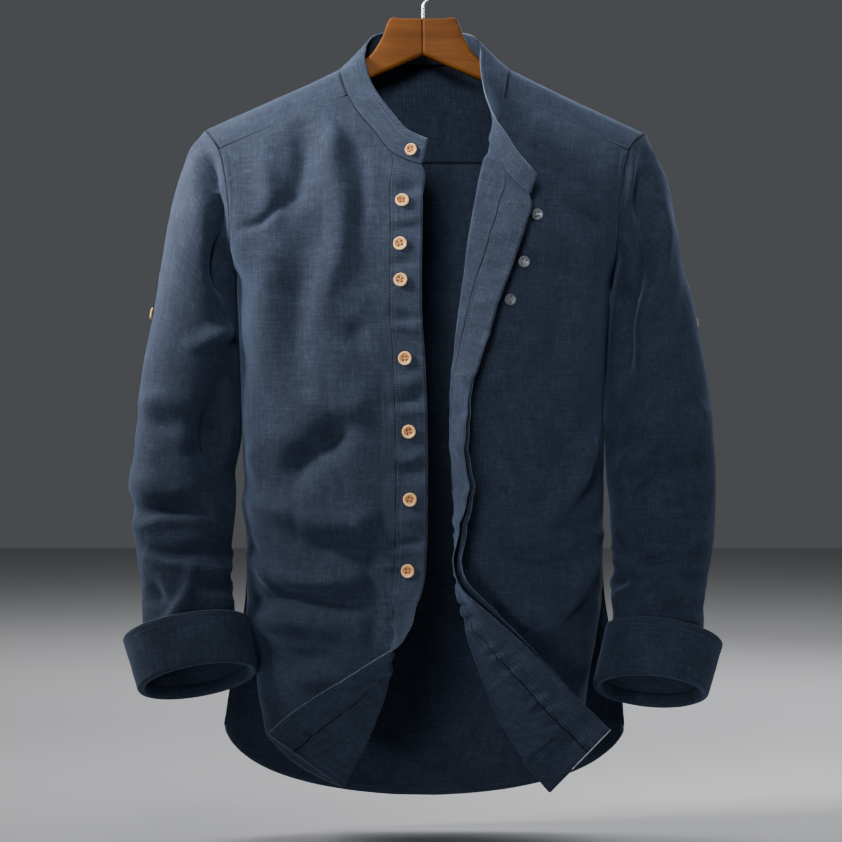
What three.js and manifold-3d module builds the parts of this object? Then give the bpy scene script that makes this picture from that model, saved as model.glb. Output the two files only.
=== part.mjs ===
// Open mandarin collar shirt on a wooden hanger.
// Millimetres, Z up. The front faces -Y and the wearer's right side is at -X.
// The origin is the underside of the hook's arch, where the hanger hangs.

import * as THREE from 'three';
import { mergeVertices } from 'three/addons/utils/BufferGeometryUtils.js';
import Module from 'manifold-3d';

const manifold = await Module();
manifold.setup();

// Wall thicknesses and spaces
const CLOTH = 1.4;
const DOUBLE = 2.4;
const PLY = 1.2;
const SEAM_SPACE = 0.3;
const BAND_SPACE = 0.6;
const CORNER_SPACE = 0.9;
const YOKE_SPACE = 1.9;
const ARMHOLE_SPACE = 1.1;

// Widths of the front bands, in from the free edges
const BAND_WIDTH = 32;

// Columns across each part of a row
const FRONT_BODY_COLUMNS = 9;
const TURN_COLUMNS = 4;
const FLAP_COLUMNS = 3;
const BAND_COLUMNS = 2;

// The left band is two plies: the outer one stands off by this much at the free edge
const PLY_SPACE = 0.4;
const PLY_PARTED = 7;
const PARTED_FROM = 5;
const PARTED_TO = 17;
const BACK_COLUMNS = 22;
const YOKE_ROWS = 4;
const COLLAR_ROWS = 3;
const SLEEVE_COLUMNS = 22;

// Right front, a row for each section from the yoke seam down to the hem.
// s: side seam or armhole, r: outermost point of the turned edge,
// e: neck seam or free edge, full: fullness of the section, turn: radius of the turn.
const FRONT_RIGHT = table('xs ys zs xr yr zr xe ye ze full turn', [
  [-211, -40, -203, -91, -34, -152, -78, -33, -147, 1.0, 6],
  [-207, -48, -216, -80, -48, -172, -66, -47, -168, 1.3, 6],
  [-204, -54, -230, -64, -58, -191, -50, -58, -187, 1.6, 6],
  [-202, -58, -243, -48, -66, -209, -2, -78, -223, 1.9, 6],
  [-199.5, -60, -262, -43, -84, -252, -1, -89, -255, 2.1, 6],
  [-198.5, -57, -284, -42, -95, -291, -1.5, -100, -294, 2.2, 6],
  [-198.5, -45, -304, -42, -103, -325, -2, -107, -327, 2.3, 6],
  [-196.5, -22, -321, -41, -108, -352, -2, -112, -354, 2.3, 6],
  [-194, 5, -330, -41, -111, -380, -1.5, -115, -382, 2.4, 6],
  [-192.5, 6, -375, -39, -113, -415, 1, -117, -416, 2.4, 6],
  [-190.5, 6, -430, -37, -114, -460, 3, -118, -460, 2.4, 6],
  [-188.7, 6, -490, -36, -114, -510, 4.2, -118, -510, 2.4, 6],
  [-185, 7, -550, -36, -114, -560, 4, -119, -560, 2.4, 6],
  [-185, 8, -600, -35, -114, -605, 3.5, -120, -605, 2.4, 6],
  [-185, 9, -642, -34, -114, -645, 1, -124, -645, 2.4, 6],
  [-184.5, 9, -665, -31, -115, -669, -5.6, -138, -668, 2.4, 6],
  [-184, 8, -683, -28.5, -116, -690, -16, -150, -697, 2.4, 6],
  [-180, 2, -705, -28.5, -117, -713, -29, -156, -712, 2.3, 6],
  [-176, -6, -727, -32, -118, -737, -53, -158, -726, 2.2, 5.5],
  [-173, -16, -748, -39.5, -119, -765, -80, -154, -743, 2.1, 5],
  [-170, -28, -768, -51, -120, -795, -107, -149, -760, 2.0, 4.5],
  [-166, -38, -784, -64.5, -120, -825, -132, -146, -777, 2.0, 4],
  [-162, -48, -797, -79, -120, -852, -155, -143, -797, 2.0, 4],
]);

// Left front, whose upper edge is turned back as a lapel
const FRONT_LEFT = table('xs ys zs xr yr zr xe ye ze full turn', [
  [213, -41, -205, 98, -34, -154, 85, -33, -149, 1.0, 6],
  [209, -49, -218, 96, -47, -171, 82, -46, -166, 1.3, 6],
  [206, -55, -232, 88, -61, -188, 75, -62, -182, 1.6, 6],
  [204, -59, -246, 74, -70, -203, 68, -76, -195, 1.9, 6],
  [202, -60, -260, 64, -79, -214, 71, -91, -207, 2.0, 5],
  [201, -58, -275, 60, -86, -226, 107.5, -118, -255.6, 2.1, 5],
  [200.5, -50, -295, 53, -95, -262, 103.6, -126, -284.5, 2.2, 5],
  [200, -32, -314, 46, -102, -300, 92, -131, -319, 2.3, 5],
  [198, -8, -328, 41, -107, -338, 78, -136, -357, 2.3, 5],
  [195, 5, -345, 36, -110, -375, 66, -141, -394, 2.4, 5],
  [191.5, 6, -385, 31, -112, -415, 54, -146, -432, 2.4, 5],
  [190, 6, -430, 27.5, -114, -456, 44, -149, -468, 2.4, 5],
  [189, 6, -480, 27, -115, -503, 42, -151, -513, 2.4, 5],
  [189, 7, -540, 30, -115, -550, 44, -152, -556, 2.4, 5],
  [188.5, 8, -590, 32, -116, -590, 37, -154, -593, 2.4, 5],
  [188, 9, -630, 32.5, -116, -624, 30, -154, -622, 2.4, 5],
  [188, 10, -660, 34, -116, -650, 37, -156, -649, 2.3, 5],
  [186, 9, -683, 39, -117, -677, 58, -155, -670, 2.2, 5],
  [181, 3, -708, 46, -117, -706, 82, -153, -691, 2.1, 5],
  [176, -6, -732, 56, -118, -737, 105, -150, -712, 2.0, 5],
  [172, -17, -753, 68, -118, -768, 127, -147, -734, 2.0, 4.5],
  [169, -29, -772, 83, -119, -797, 147, -145, -755, 2.0, 4],
  [166, -40, -786, 105, -119, -828, 167, -143, -775, 2.0, 4],
  [163, -50, -797, 131, -119, -858, 187, -143, -794, 2.0, 4],
]);

// Back, a row for each section from the yoke seam down to the tail
const BACK = table('xright xleft yside zside ymid zmid full rise', [
  [-203.5, 206, 44, -212, 90, -206, 2.0, 3],
  [-199, 202, 52, -232, 95, -232, 2.2, 3],
  [-196, 199, 58, -258, 99, -258, 2.2, 3],
  [-195, 198, 57, -284, 102, -284, 2.3, 3],
  [-195, 198, 44, -306, 104, -308, 2.3, 3],
  [-194.5, 197.5, 22, -322, 105, -326, 2.4, 3],
  [-194, 196.5, 6, -330, 106, -340, 2.4, 3],
  [-192.8, 192, 6, -370, 108, -375, 2.4, 3],
  [-190.5, 190, 6, -430, 109, -430, 2.4, 3],
  [-188.7, 189, 6, -490, 110, -490, 2.4, 3],
  [-185, 189, 7, -550, 111, -550, 2.4, 3],
  [-185, 188, 8, -610, 112, -610, 2.4, 3],
  [-186, 190, 10, -660, 113, -665, 2.4, 3],
  [-190, 195, 13, -695, 114, -715, 2.4, 2.6],
  [-199, 204, 20, -740, 116, -770, 2.5, 2.2],
  [-206, 210.5, 26, -778, 118, -825, 2.6, 1.8],
  [-210, 212.5, 30, -806, 120, -892, 2.7, 1.6],
]);

// Yoke edge round each armhole from the front seam over the shoulder to the back seam.
// neck: the place on the neck table that each section runs from.
const SHOULDER_RIGHT = table('neck x y z', [
  [5, -211, -40, -203],
  [5.5, -217, -30, -194],
  [6, -222.5, -18, -186.5],
  [6.5, -226.5, -8, -181.8],
  [7, -228.5, 0, -180],
  [7.4, -226.5, 9, -182],
  [7.8, -221, 20, -188],
  [8.3, -213, 33, -198],
  [8.7, -203.5, 44, -212],
]);
const SHOULDER_LEFT = table('neck x y z', [
  [15.3, 206, 44, -212],
  [15.7, 216, 33, -199],
  [16.2, 225, 20, -190],
  [16.6, 231, 9, -185.5],
  [17, 233.5, 0, -184],
  [17.5, 231, -8, -185.5],
  [18, 226, -18, -189.5],
  [18.5, 219.5, -30, -196],
  [19, 213, -41, -205],
]);

// Neck seam and the collar's top edge, from the right front end round to the left
const NECK = table('x y z xt yt zt', [
  [-2, -78, -223, 4, -80, -196.4],
  [-18.4, -74, -217, -6.1, -73, -191.5],
  [-35, -69, -207, -18.5, -67, -184],
  [-50, -58, -187, -34, -55, -164.5],
  [-66, -47, -168, -47, -42, -146],
  [-78, -33, -147, -56, -28, -128],
  [-86, -14, -123.5, -61, -13, -107],
  [-87, 0, -117, -60.5, 0, -95],
  [-85, 14, -112.5, -59, 9, -88],
  [-76, 29, -108, -53, 20, -78.5],
  [-55, 42, -105.6, -40, 32, -73],
  [-28, 49, -105.6, -21, 39.5, -70.5],
  [0, 51, -105.6, 0, 41, -69.6],
  [28, 49, -105.6, 21, 39.5, -70.5],
  [55, 42, -105.6, 40, 32, -73],
  [78, 29, -108, 53, 20, -78],
  [88, 14, -112.5, 59, 9, -86],
  [90, 0, -116.5, 60.5, -2, -95],
  [89, -14, -124, 60, -17, -112],
  [85, -33, -149, 61.6, -36, -131],
  [82, -46, -166, 64.5, -60, -149],
  [75, -62, -182, 69, -81, -165],
  [68, -76, -195, 75, -97, -180],
  [71, -91, -207, 83, -111, -193],
  [82, -104, -228, 94, -122, -212],
  [94, -112, -243, 104, -130, -225],
  [107.5, -118, -255.6, 114, -134, -237],
]);

// Sleeves, a row for each ring down from the armhole.
// o: outer side, i: side next to the body, y: middle, deep: half depth,
// tilt: degrees the ring's front is raised, hold: share of the armhole's own shape.
const SLEEVE_RIGHT = table('xo zo xi zi y deep tilt hold', [
  [-228.5, -180, -194, -330, 0, 58, 0, 1],
  [-241, -195, -195.3, -333, 0, 58, 0, 0.8],
  [-250, -216, -196.2, -338, 1, 58, 0, 0.55],
  [-259, -241, -196.4, -348, 2, 58, 0, 0.3],
  [-266.5, -275, -195.8, -366, 3, 57, 0, 0.1],
  [-273, -318, -194.6, -392, 4, 56, 0, 0],
  [-282, -372, -193.2, -426, 4, 55, 2, 0],
  [-293, -428, -191.8, -462, 2, 54, 5, 0],
  [-300, -482, -190.9, -497, -3, 52, 8, 0],
  [-303, -532, -191.5, -534, -10, 50, 12, 0],
  [-302.5, -580, -196, -576, -18, 47, 16, 0],
  [-298, -622, -198, -614, -28, 44, 19, 0],
  [-292, -662, -199, -652, -38, 42, 22, 0],
  [-288, -702, -193, -692, -49, 42, 24, 0],
  [-286, -735, -183, -718, -57, 43, 25, 0],
]);
const SLEEVE_LEFT = table('xo zo xi zi y deep tilt hold', [
  [233.5, -184, 195, -345, 0, 58, 0, 1],
  [242, -197, 197.6, -346, 0, 58, 0, 0.8],
  [252, -220, 197.9, -350, 1, 58, 0, 0.55],
  [260.5, -248, 197.5, -358, 2, 58, 0, 0.3],
  [269, -284, 196, -374, 3, 57, 0, 0.1],
  [277, -328, 194.2, -398, 4, 56, 0, 0],
  [287, -380, 192.6, -430, 4, 55, 2, 0],
  [297, -436, 191.6, -464, 2, 54, 5, 0],
  [302.5, -490, 190.9, -500, -4, 52, 8, 0],
  [304.5, -540, 192.4, -540, -11, 50, 12, 0],
  [303.5, -586, 195.5, -584, -20, 47, 16, 0],
  [299, -628, 196, -624, -29, 44, 19, 0],
  [292, -668, 198, -662, -39, 42, 22, 0],
  [288, -706, 195, -700, -49, 42, 24, 0],
  [286, -740, 187, -730, -57, 43, 25, 0],
]);

// Turned up cuffs: the ring the cuff turns on and the ring of its top edge
const CUFF_RIGHT = table('xo zo xi zi y deep tilt', [
  [-290, -762, -174, -741, -62, 47, 25],
  [-309, -712, -180, -690, -44, 53, 23],
]);
const CUFF_LEFT = table('xo zo xi zi y deep tilt', [
  [290.5, -767, 179, -757, -62, 47, 25],
  [309, -717, 190, -697, -44, 53, 23],
]);

// Section of the turned cuff: out from the ring, and down along the sleeve
const CUFF_TURN = table('out down', [
  [-3, -9],
  [-3, 0],
  [-2.1, 2.1],
  [0, 3],
  [2.1, 2.1],
  [3, 0],
]);
const CUFF_RISE = [0.3, 0.65, 1];

// Large folds on the fronts and back: a soft ridge (+) or trough (-) along each line
const FOLDS_RIGHT = table('x1 z1 x2 z2 wide high', [
  [-182, -262, -140, -240, 16, -5],
  [-92, -175, -120, -330, 16, 4],
  [-135, -440, -75, -470, 22, -6],
  [-180, -500, -90, -500, 20, 5],
  [-178, -548, -130, -552, 16, -6],
  [-90, -570, -40, -595, 20, -5],
  [-180, -625, -80, -640, 22, 5],
]);
const FOLDS_LEFT = table('x1 z1 x2 z2 wide high', [
  [150, -245, 185, -265, 16, -5],
  [170, -350, 110, -440, 24, 4],
  [175, -470, 90, -500, 24, -5],
  [180, -560, 100, -560, 22, 5],
  [170, -610, 90, -640, 22, -5],
]);
const FOLDS_BACK = table('x1 z1 x2 z2 wide high', [
  [-110, -260, -120, -520, 26, 6],
  [-20, -300, -30, -640, 30, -5],
  [105, -260, 120, -560, 26, 6],
  [-150, -600, -140, -760, 24, -6],
  [60, -520, 70, -860, 26, 5],
  [150, -600, 140, -780, 24, -6],
]);

// Buttons: place in front elevation, and the size of each
const BUTTONS = table('x z radius', [
  [-21, -260.7, 7],
  [-23, -305.2, 7],
  [-22.5, -342.3, 7],
  [-18, -421.4, 7],
  [-14, -495.4, 7],
  [-12.8, -564, 7],
  [-15.1, -635.9, 7],
]);
const DARK_BUTTONS = table('x z radius', [
  [115.5, -275.1, 6],
  [102, -323.2, 6],
  [88, -362, 6],
]);
// Button from the middle of its back round the rim to the middle of its dished front
const BUTTON_PROFILE = table('share height', [
  [0, 0],
  [0.94, 0],
  [1, 0.9],
  [1, 2.2],
  [0.9, 2.9],
  [0.74, 2.6],
  [0.66, 1.9],
  [0, 1.9],
]);
const COLLAR_BUTTON = { place: 0.9, up: 0.42, radius: 6.2 };
const SLEEVE_BUTTON_ROW = 6;
const SLEEVE_BUTTON_RADIUS = 6.2;

// Hanger arm, a row for each section out from the middle
const HANGER_ARM = table('x top bottom half y', [
  [0.15, -62.4, -101.5, 8, 0],
  [20, -62.4, -110, 8, 0],
  [34.5, -62.6, -116.3, 8, 0],
  [43, -82, -119.8, 8, 0],
  [54, -99.5, -124.6, 7.8, 0],
  [70, -111.5, -131.5, 7.6, 0.5],
  [88, -121, -139.5, 7.5, 1],
  [120, -135.2, -154, 7.2, 1],
  [160, -151.9, -172, 6.8, 1],
  [190, -165.3, -185, 6.2, 1],
  [203, -171.4, -188, 5.5, 1],
  [208, -176, -185, 3.5, 1],
]);

// Hook rod: middle line in the plane of the hanger
const HOOK_RADIUS = 1.7;
const HOOK = table('x z', [
  [0, -62.1],
  [0, -52],
  [1.2, -46],
  [6, -40.5],
  [12.5, -35],
  [17.5, -27.5],
  [19, -17.3],
  [16.5, -7.8],
  [9.5, -0.8],
  [0, 1.7],
  [-9.5, -0.8],
  [-16.5, -7.8],
  [-19, -17.3],
  [-17.6, -24.5],
]);

// Colours
const NAVY = 0x33445a;
const NAVY_DARK = 0x2b3a4e;
const WOOD = 0x6b2f1c;
const BUTTON_TAN = 0xb07a3c;
const BUTTON_DARK = 0x2c2c30;
const STEEL = 0xb8bcc0;

// Tables and points

function table(names, rows) {
  const keys = names.split(' ');
  return rows.map((row) => Object.fromEntries(keys.map((key, i) => [key, row[i]])));
}

function mix(a, b, t) {
  return a + (b - a) * t;
}

function mixPoint(a, b, t) {
  return [mix(a[0], b[0], t), mix(a[1], b[1], t), mix(a[2], b[2], t)];
}

function add(a, b, k = 1) {
  return [a[0] + b[0] * k, a[1] + b[1] * k, a[2] + b[2] * k];
}

function between(a, b) {
  return [b[0] - a[0], b[1] - a[1], b[2] - a[2]];
}

function size(v) {
  return Math.hypot(v[0], v[1], v[2]);
}

function unit(v) {
  const length = size(v) || 1;
  return [v[0] / length, v[1] / length, v[2] / length];
}

function cross(a, b) {
  return [a[1] * b[2] - a[2] * b[1], a[2] * b[0] - a[0] * b[2], a[0] * b[1] - a[1] * b[0]];
}

// Smooth value of one column between the rows of a table
function smooth(rows, key, place) {
  const last = rows.length - 1;
  const i = Math.min(Math.floor(place), last - 1);
  const t = place - i;
  const p1 = rows[i][key];
  const p2 = rows[i + 1][key];
  const p0 = i > 0 ? rows[i - 1][key] : 2 * p1 - p2;
  const p3 = i + 2 <= last ? rows[i + 2][key] : 2 * p2 - p1;
  const a = 2 * p1 + (p2 - p0) * t;
  const b = (2 * p0 - 5 * p1 + 4 * p2 - p3) * t * t;
  const c = (3 * p1 - p0 - 3 * p2 + p3) * t * t * t;
  return (a + b + c) / 2;
}

// Point at each distance along a run of points
function walk(points, distances) {
  const run = [0];
  for (let i = 1; i < points.length; i += 1) {
    run.push(run[i - 1] + size(between(points[i - 1], points[i])));
  }
  return distances.map((distance) => {
    let i = 1;
    while (i < run.length - 1 && run[i] < distance) i += 1;
    const t = (distance - run[i - 1]) / (run[i] - run[i - 1]);
    return mixPoint(points[i - 1], points[i], t);
  });
}

function runLength(points) {
  let total = 0;
  for (let i = 1; i < points.length; i += 1) total += size(between(points[i - 1], points[i]));
  return total;
}

function steps(from, to, count) {
  return Array.from({ length: count + 1 }, (_, i) => mix(from, to, i / count));
}

// Push points out (-y on the fronts, +y on the back) along the folds
function folded(point, folds, outward) {
  let push = 0;
  for (const fold of folds) {
    const ax = point[0] - fold.x1;
    const az = point[2] - fold.z1;
    const bx = fold.x2 - fold.x1;
    const bz = fold.z2 - fold.z1;
    const t = Math.min(1, Math.max(0, (ax * bx + az * bz) / (bx * bx + bz * bz)));
    const distance = Math.hypot(ax - bx * t, az - bz * t);
    push += fold.high * Math.exp(-((distance / fold.wide) ** 2));
  }
  return [point[0], point[1] + push * outward, point[2]];
}

// Solids

// Closed wall on a grid of points; loop joins the last column to the first
function wall(grid, thick, loop = false) {
  const rows = grid.length;
  const columns = grid[0].length;
  const positions = [];
  for (const side of [0.5, -0.5]) {
    for (let r = 0; r < rows; r += 1) {
      for (let c = 0; c < columns; c += 1) {
        const up = grid[Math.max(r - 1, 0)][c];
        const down = grid[Math.min(r + 1, rows - 1)][c];
        const before = loop ? grid[r][(c + columns - 1) % columns] : grid[r][Math.max(c - 1, 0)];
        const after = loop ? grid[r][(c + 1) % columns] : grid[r][Math.min(c + 1, columns - 1)];
        const normal = unit(cross(between(up, down), between(before, after)));
        positions.push(...add(grid[r][c], normal, thick * side));
      }
    }
  }
  const at = (face, r, c) => face * rows * columns + r * columns + (c % columns);
  const index = [];
  const quad = (a, b, c, d) => index.push(a, b, c, a, c, d);
  const span = loop ? columns : columns - 1;
  for (let r = 0; r < rows - 1; r += 1) {
    for (let c = 0; c < span; c += 1) {
      quad(at(0, r, c), at(0, r + 1, c), at(0, r + 1, c + 1), at(0, r, c + 1));
      quad(at(1, r, c), at(1, r, c + 1), at(1, r + 1, c + 1), at(1, r + 1, c));
    }
  }
  for (let c = 0; c < span; c += 1) {
    quad(at(0, 0, c), at(0, 0, c + 1), at(1, 0, c + 1), at(1, 0, c));
    quad(at(0, rows - 1, c + 1), at(0, rows - 1, c), at(1, rows - 1, c), at(1, rows - 1, c + 1));
  }
  if (!loop) {
    for (let r = 0; r < rows - 1; r += 1) {
      quad(at(0, r + 1, 0), at(0, r, 0), at(1, r, 0), at(1, r + 1, 0));
      quad(at(0, r, span), at(0, r + 1, span), at(1, r + 1, span), at(1, r, span));
    }
  }
  return solid(positions, index);
}

// Closed body through rings of points, with a flat cap at each end
function loft(rings) {
  const count = rings[0].length;
  const positions = rings.flat(2);
  const index = [];
  for (let r = 0; r < rings.length - 1; r += 1) {
    for (let c = 0; c < count; c += 1) {
      const a = r * count + c;
      const b = r * count + ((c + 1) % count);
      index.push(a, b, b + count, a, b + count, a + count);
    }
  }
  const end = (rings.length - 1) * count;
  for (let c = 1; c < count - 1; c += 1) {
    index.push(0, c + 1, c);
    index.push(end, end + c, end + c + 1);
  }
  return solid(positions, index);
}

// Geometry whose faces look outwards
function solid(positions, index) {
  let volume = 0;
  for (let i = 0; i < index.length; i += 3) {
    const [a, b, c] = [0, 1, 2].map((k) => positions.slice(index[i + k] * 3, index[i + k] * 3 + 3));
    const n = cross(b, c);
    volume += a[0] * n[0] + a[1] * n[1] + a[2] * n[2];
  }
  if (volume < 0) index.reverse();
  const geometry = new THREE.BufferGeometry();
  geometry.setAttribute('position', new THREE.Float32BufferAttribute(positions, 3));
  geometry.setIndex(index);
  geometry.computeVertexNormals();
  return geometry;
}

// Body of the shirt

// One row of a front: body section, turn, flap and free edge
function frontRow(row) {
  const inward = Math.sign(row.xe - row.xs) || 1;
  const start = [row.xs, row.ys, row.zs];
  const edge = [row.xe, row.ye, row.ze];
  const turnStart = [row.xr - inward * row.turn, row.yr, row.zr];
  const power = 2 / row.full;
  const body = steps(0, 1, 24).map((t) => {
    const across = 1 - Math.cos(t * Math.PI / 2) ** power;
    const forward = Math.sin(t * Math.PI / 2) ** power;
    return [
      mix(start[0], turnStart[0], across),
      mix(start[1], turnStart[1], forward),
      mix(start[2], turnStart[2], (across + forward) / 2),
    ];
  });
  body[24] = turnStart;
  const ahead = (edge[0] - turnStart[0]) * inward;
  const out = turnStart[1] - edge[1];
  const reach = Math.hypot(ahead, out - row.turn);
  const bearing = Math.atan2(out - row.turn, ahead);
  const angle = Math.max(0, bearing - Math.acos(row.turn / reach) + Math.PI / 2);
  const turned = steps(0, angle, 12).map((a) => [
    turnStart[0] + inward * row.turn * Math.sin(a),
    turnStart[1] - row.turn * (1 - Math.cos(a)),
    turnStart[2],
  ]);
  const path = [...body, ...turned.slice(1), edge];
  const bodyRun = runLength(body);
  const total = runLength(path);
  const rest = total - bodyRun;
  const turnRun = Math.min(Math.max(row.turn * angle, rest * 0.12), rest * 0.6);
  return { path, bodyRun, turnRun, total };
}

// Grid of a whole front, its panel and band sharing each row
function frontGrids(rows, folds, firstBand, neckPlaces) {
  const panel = [];
  const band = [];
  rows.forEach((row, r) => {
    const { path, bodyRun, turnRun, total } = frontRow(row);
    const banded = r >= firstBand;
    const seam = banded ? total - BAND_WIDTH : total;
    const turnEnd = Math.min(bodyRun + turnRun, seam - 2);
    const bodyEnd = Math.min(bodyRun, turnEnd - 6);
    const places = [
      ...steps(0, bodyEnd, FRONT_BODY_COLUMNS),
      ...steps(bodyEnd, turnEnd, TURN_COLUMNS).slice(1),
      ...steps(turnEnd, banded ? seam - BAND_SPACE : seam, FLAP_COLUMNS).slice(1),
    ];
    const points = walk(path, places);
    const fade = (c) => Math.min(1, c / 2, Math.max(0, (FRONT_BODY_COLUMNS - c) / 2));
    const down = Math.min(1, r / 2);
    panel.push(points.map((point, c) => mixPoint(point, folded(point, folds, -1), fade(c) * down)));
    if (banded) band.push(walk(path, steps(seam, total, BAND_COLUMNS)));
  });
  const corner = neckPoint(neckPlaces[0]);
  const end = neckPoint(neckPlaces[1]);
  panel[firstBand][panel[firstBand].length - 1] = mixPoint(corner, end, -0.01);
  band[0] = steps(0, 1, BAND_COLUMNS).map((t) => neckPoint(mix(neckPlaces[0], neckPlaces[1], t)));
  return { panel, band };
}

// Outer ply of the left band, parted from the inner ply along the free edge
function outerPly(band) {
  const last = band[0].length - 1;
  return band.map((points, r) => {
    const share = Math.min(1, Math.max(0, (r - PARTED_FROM) / (PARTED_TO - PARTED_FROM)));
    const parted = PLY_PARTED * Math.sin(share * Math.PI);
    const up = band[Math.max(r - 1, 0)][last];
    const down = band[Math.min(r + 1, band.length - 1)][last];
    const away = unit(cross(between(up, down), between(points[0], points[last])));
    const toBody = away[0] + away[1] > 0 ? 1 : -1;
    return points.map((point, c) => {
      return add(point, away, toBody * (PLY + PLY_SPACE + parted * c / last));
    });
  });
}

function neckPoint(place) {
  return ['x', 'y', 'z'].map((key) => smooth(NECK, key, place));
}

function collarTop(place) {
  return ['xt', 'yt', 'zt'].map((key) => smooth(NECK, key, place));
}

function backRow(row, places) {
  return places.map((t) => {
    const edge = t < 0 ? row.xright : row.xleft;
    const angle = (1 - Math.abs(t)) * Math.PI / 2;
    const power = 2 / row.full;
    const x = edge * Math.cos(angle) ** power;
    const y = mix(row.yside, row.ymid, Math.sin(angle) ** power);
    const lift = (row.zside - row.zmid) * Math.abs(t) ** row.rise;
    return [Math.abs(t) === 1 ? edge : x, y + mix(0.7, 0, 1 - Math.abs(t)), row.zmid + lift];
  });
}

const backPlaces = steps(-1, 1, BACK_COLUMNS);

function backGrid() {
  return BACK.map((row, r) => backRow(row, backPlaces).map((point, c) => {
    const fade = Math.min(1, c / 3, (BACK_COLUMNS - c) / 3, r / 2);
    return mixPoint(point, folded(point, FOLDS_BACK, 1), fade);
  }));
}

// Yoke: from the neck seam out to the armholes and the back seam
function yokeGrid() {
  const seam = backRow(BACK[0], backPlaces);
  const outer = [
    ...SHOULDER_RIGHT.map((row) => [row.neck, [row.x, row.y, row.z]]),
    ...seam.slice(1, -1).map((point, i) => [mix(8.7, 15.3, (i + 1) / BACK_COLUMNS), point]),
    ...SHOULDER_LEFT.map((row) => [row.neck, [row.x, row.y, row.z]]),
  ];
  const columns = outer.map(([place, rim]) => {
    const neck = neckPoint(place);
    const along = unit(between(neck, rim));
    const from = add(neck, along, SEAM_SPACE);
    const to = add(rim, along, -CORNER_SPACE);
    return steps(0, 1, YOKE_ROWS).map((t) => mixPoint(from, to, t));
  });
  const inset = (a, b) => a.map((point, i) => add(point, unit(between(point, b[i])), YOKE_SPACE));
  columns[0] = inset(columns[0], columns[1]);
  const last = columns.length - 1;
  columns[last] = inset(columns[last], columns[last - 1]);
  return columns;
}

function collarGrid() {
  const places = steps(0, NECK.length - 1, 44);
  return places.map((place) => {
    const seam = neckPoint(place);
    const top = collarTop(place);
    const rise = unit(between(seam, top));
    return steps(0, 1, COLLAR_ROWS).map((t) => mixPoint(add(seam, rise, 0.9), top, t));
  });
}

// Point and outward direction of the collar's button on the right end
function seatOnCollar() {
  const { place, up } = COLLAR_BUTTON;
  const seam = neckPoint(place);
  const top = collarTop(place);
  const along = between(neckPoint(place + 0.5), neckPoint(place - 0.5));
  let facing = unit(cross(between(seam, top), along));
  if (facing[1] > 0) facing = facing.map((n) => -n);
  return { place: add(mixPoint(seam, top, up), facing, DOUBLE / 2 + 0.7), facing };
}

// Sleeves

// Point of a ring: turn 0 is the outer side, the front comes before half a turn
function ringPoint(row, turn) {
  const angle = turn * Math.PI * 2;
  const tilt = row.tilt * Math.PI / 180;
  const across = Math.cos(angle);
  const depth = -Math.sin(angle) * row.deep;
  return [
    mix(row.xi, row.xo, (across + 1) / 2),
    row.y + depth * Math.cos(tilt),
    mix(row.zi, row.zo, (across + 1) / 2) - depth * Math.sin(tilt),
  ];
}

// Armhole from the shoulder tip round the front, under the arm and up the back
function armhole(shoulder, front, armpit) {
  const points = (rows) => rows.map((row) => [row.x, row.y, row.z]);
  const back = BACK.slice(1, 7).map((row) => {
    const x = front[0].xs < 0 ? row.xright : row.xleft;
    return [x, row.yside, row.zside];
  });
  const rim = points(shoulder[0].x < 0 ? shoulder : [...shoulder].reverse());
  const chest = front.slice(1, armpit + 1).map((row) => [row.xs, row.ys, row.zs]);
  const ahead = [...rim.slice(0, 5).reverse(), ...chest];
  const behind = [...rim.slice(4), ...back, ...(armpit > 8 ? [chest[chest.length - 1]] : [])];
  return (turn) => {
    const half = turn <= 0.5 ? ahead : behind;
    const share = turn <= 0.5 ? turn * 2 : (1 - turn) * 2;
    return walk(half, [runLength(half) * share])[0];
  };
}

function sleeveRings(rows, hole, columns) {
  const turns = steps(0, 1, columns).slice(0, -1);
  const rings = rows.map((row) => turns.map((turn) => {
    const own = between(ringPoint(rows[0], turn), hole(turn));
    return add(ringPoint(row, turn), own, row.hold);
  }));
  const side = Math.sign(rows[0].xo);
  rings[0] = rings[0].map((point, c) => {
    const start = add(point, unit(between(point, rings[1][c])), ARMHOLE_SPACE);
    const under = ((1 - Math.cos(turns[c] * Math.PI * 2)) / 2) ** 2;
    return add(start, [side, 0, 0], under * ARMHOLE_SPACE);
  });
  return rings;
}

// Turned cuff, and the ring inside it where the sleeve ends
function cuffGrid(rows, columns) {
  const turns = steps(0, 1, columns).slice(0, -1);
  const section = turns.map((turn) => {
    const base = ringPoint(rows[0], turn);
    const top = ringPoint(rows[1], turn);
    const middle = ringPoint(rows[0], (turn + 0.5) % 1);
    const tilt = rows[0].tilt * Math.PI / 180;
    const down = unit([0, -Math.sin(tilt), -Math.cos(tilt)]);
    const radial = between(middle, base);
    const shift = radial[0] * down[0] + radial[1] * down[1] + radial[2] * down[2];
    const out = unit(add(radial, down, -shift));
    const turned = CUFF_TURN.map((row) => add(add(base, out, row.out), down, row.down - 3));
    const outer = turned[turned.length - 1];
    return [...turned, ...CUFF_RISE.map((t) => mixPoint(outer, top, t))];
  });
  return section[0].map((_, r) => section.map((points) => points[r]));
}

function sleeveAndCuff(sleeveRows, cuffRows, hole) {
  const rings = sleeveRings(sleeveRows, hole, SLEEVE_COLUMNS);
  const cuff = cuffGrid(cuffRows, SLEEVE_COLUMNS);
  const last = rings[rings.length - 1];
  rings.push(cuff[0].map((point, c) => add(point, unit(between(point, last[c])), CORNER_SPACE)));
  return { rings, cuff };
}

// Buttons

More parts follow.
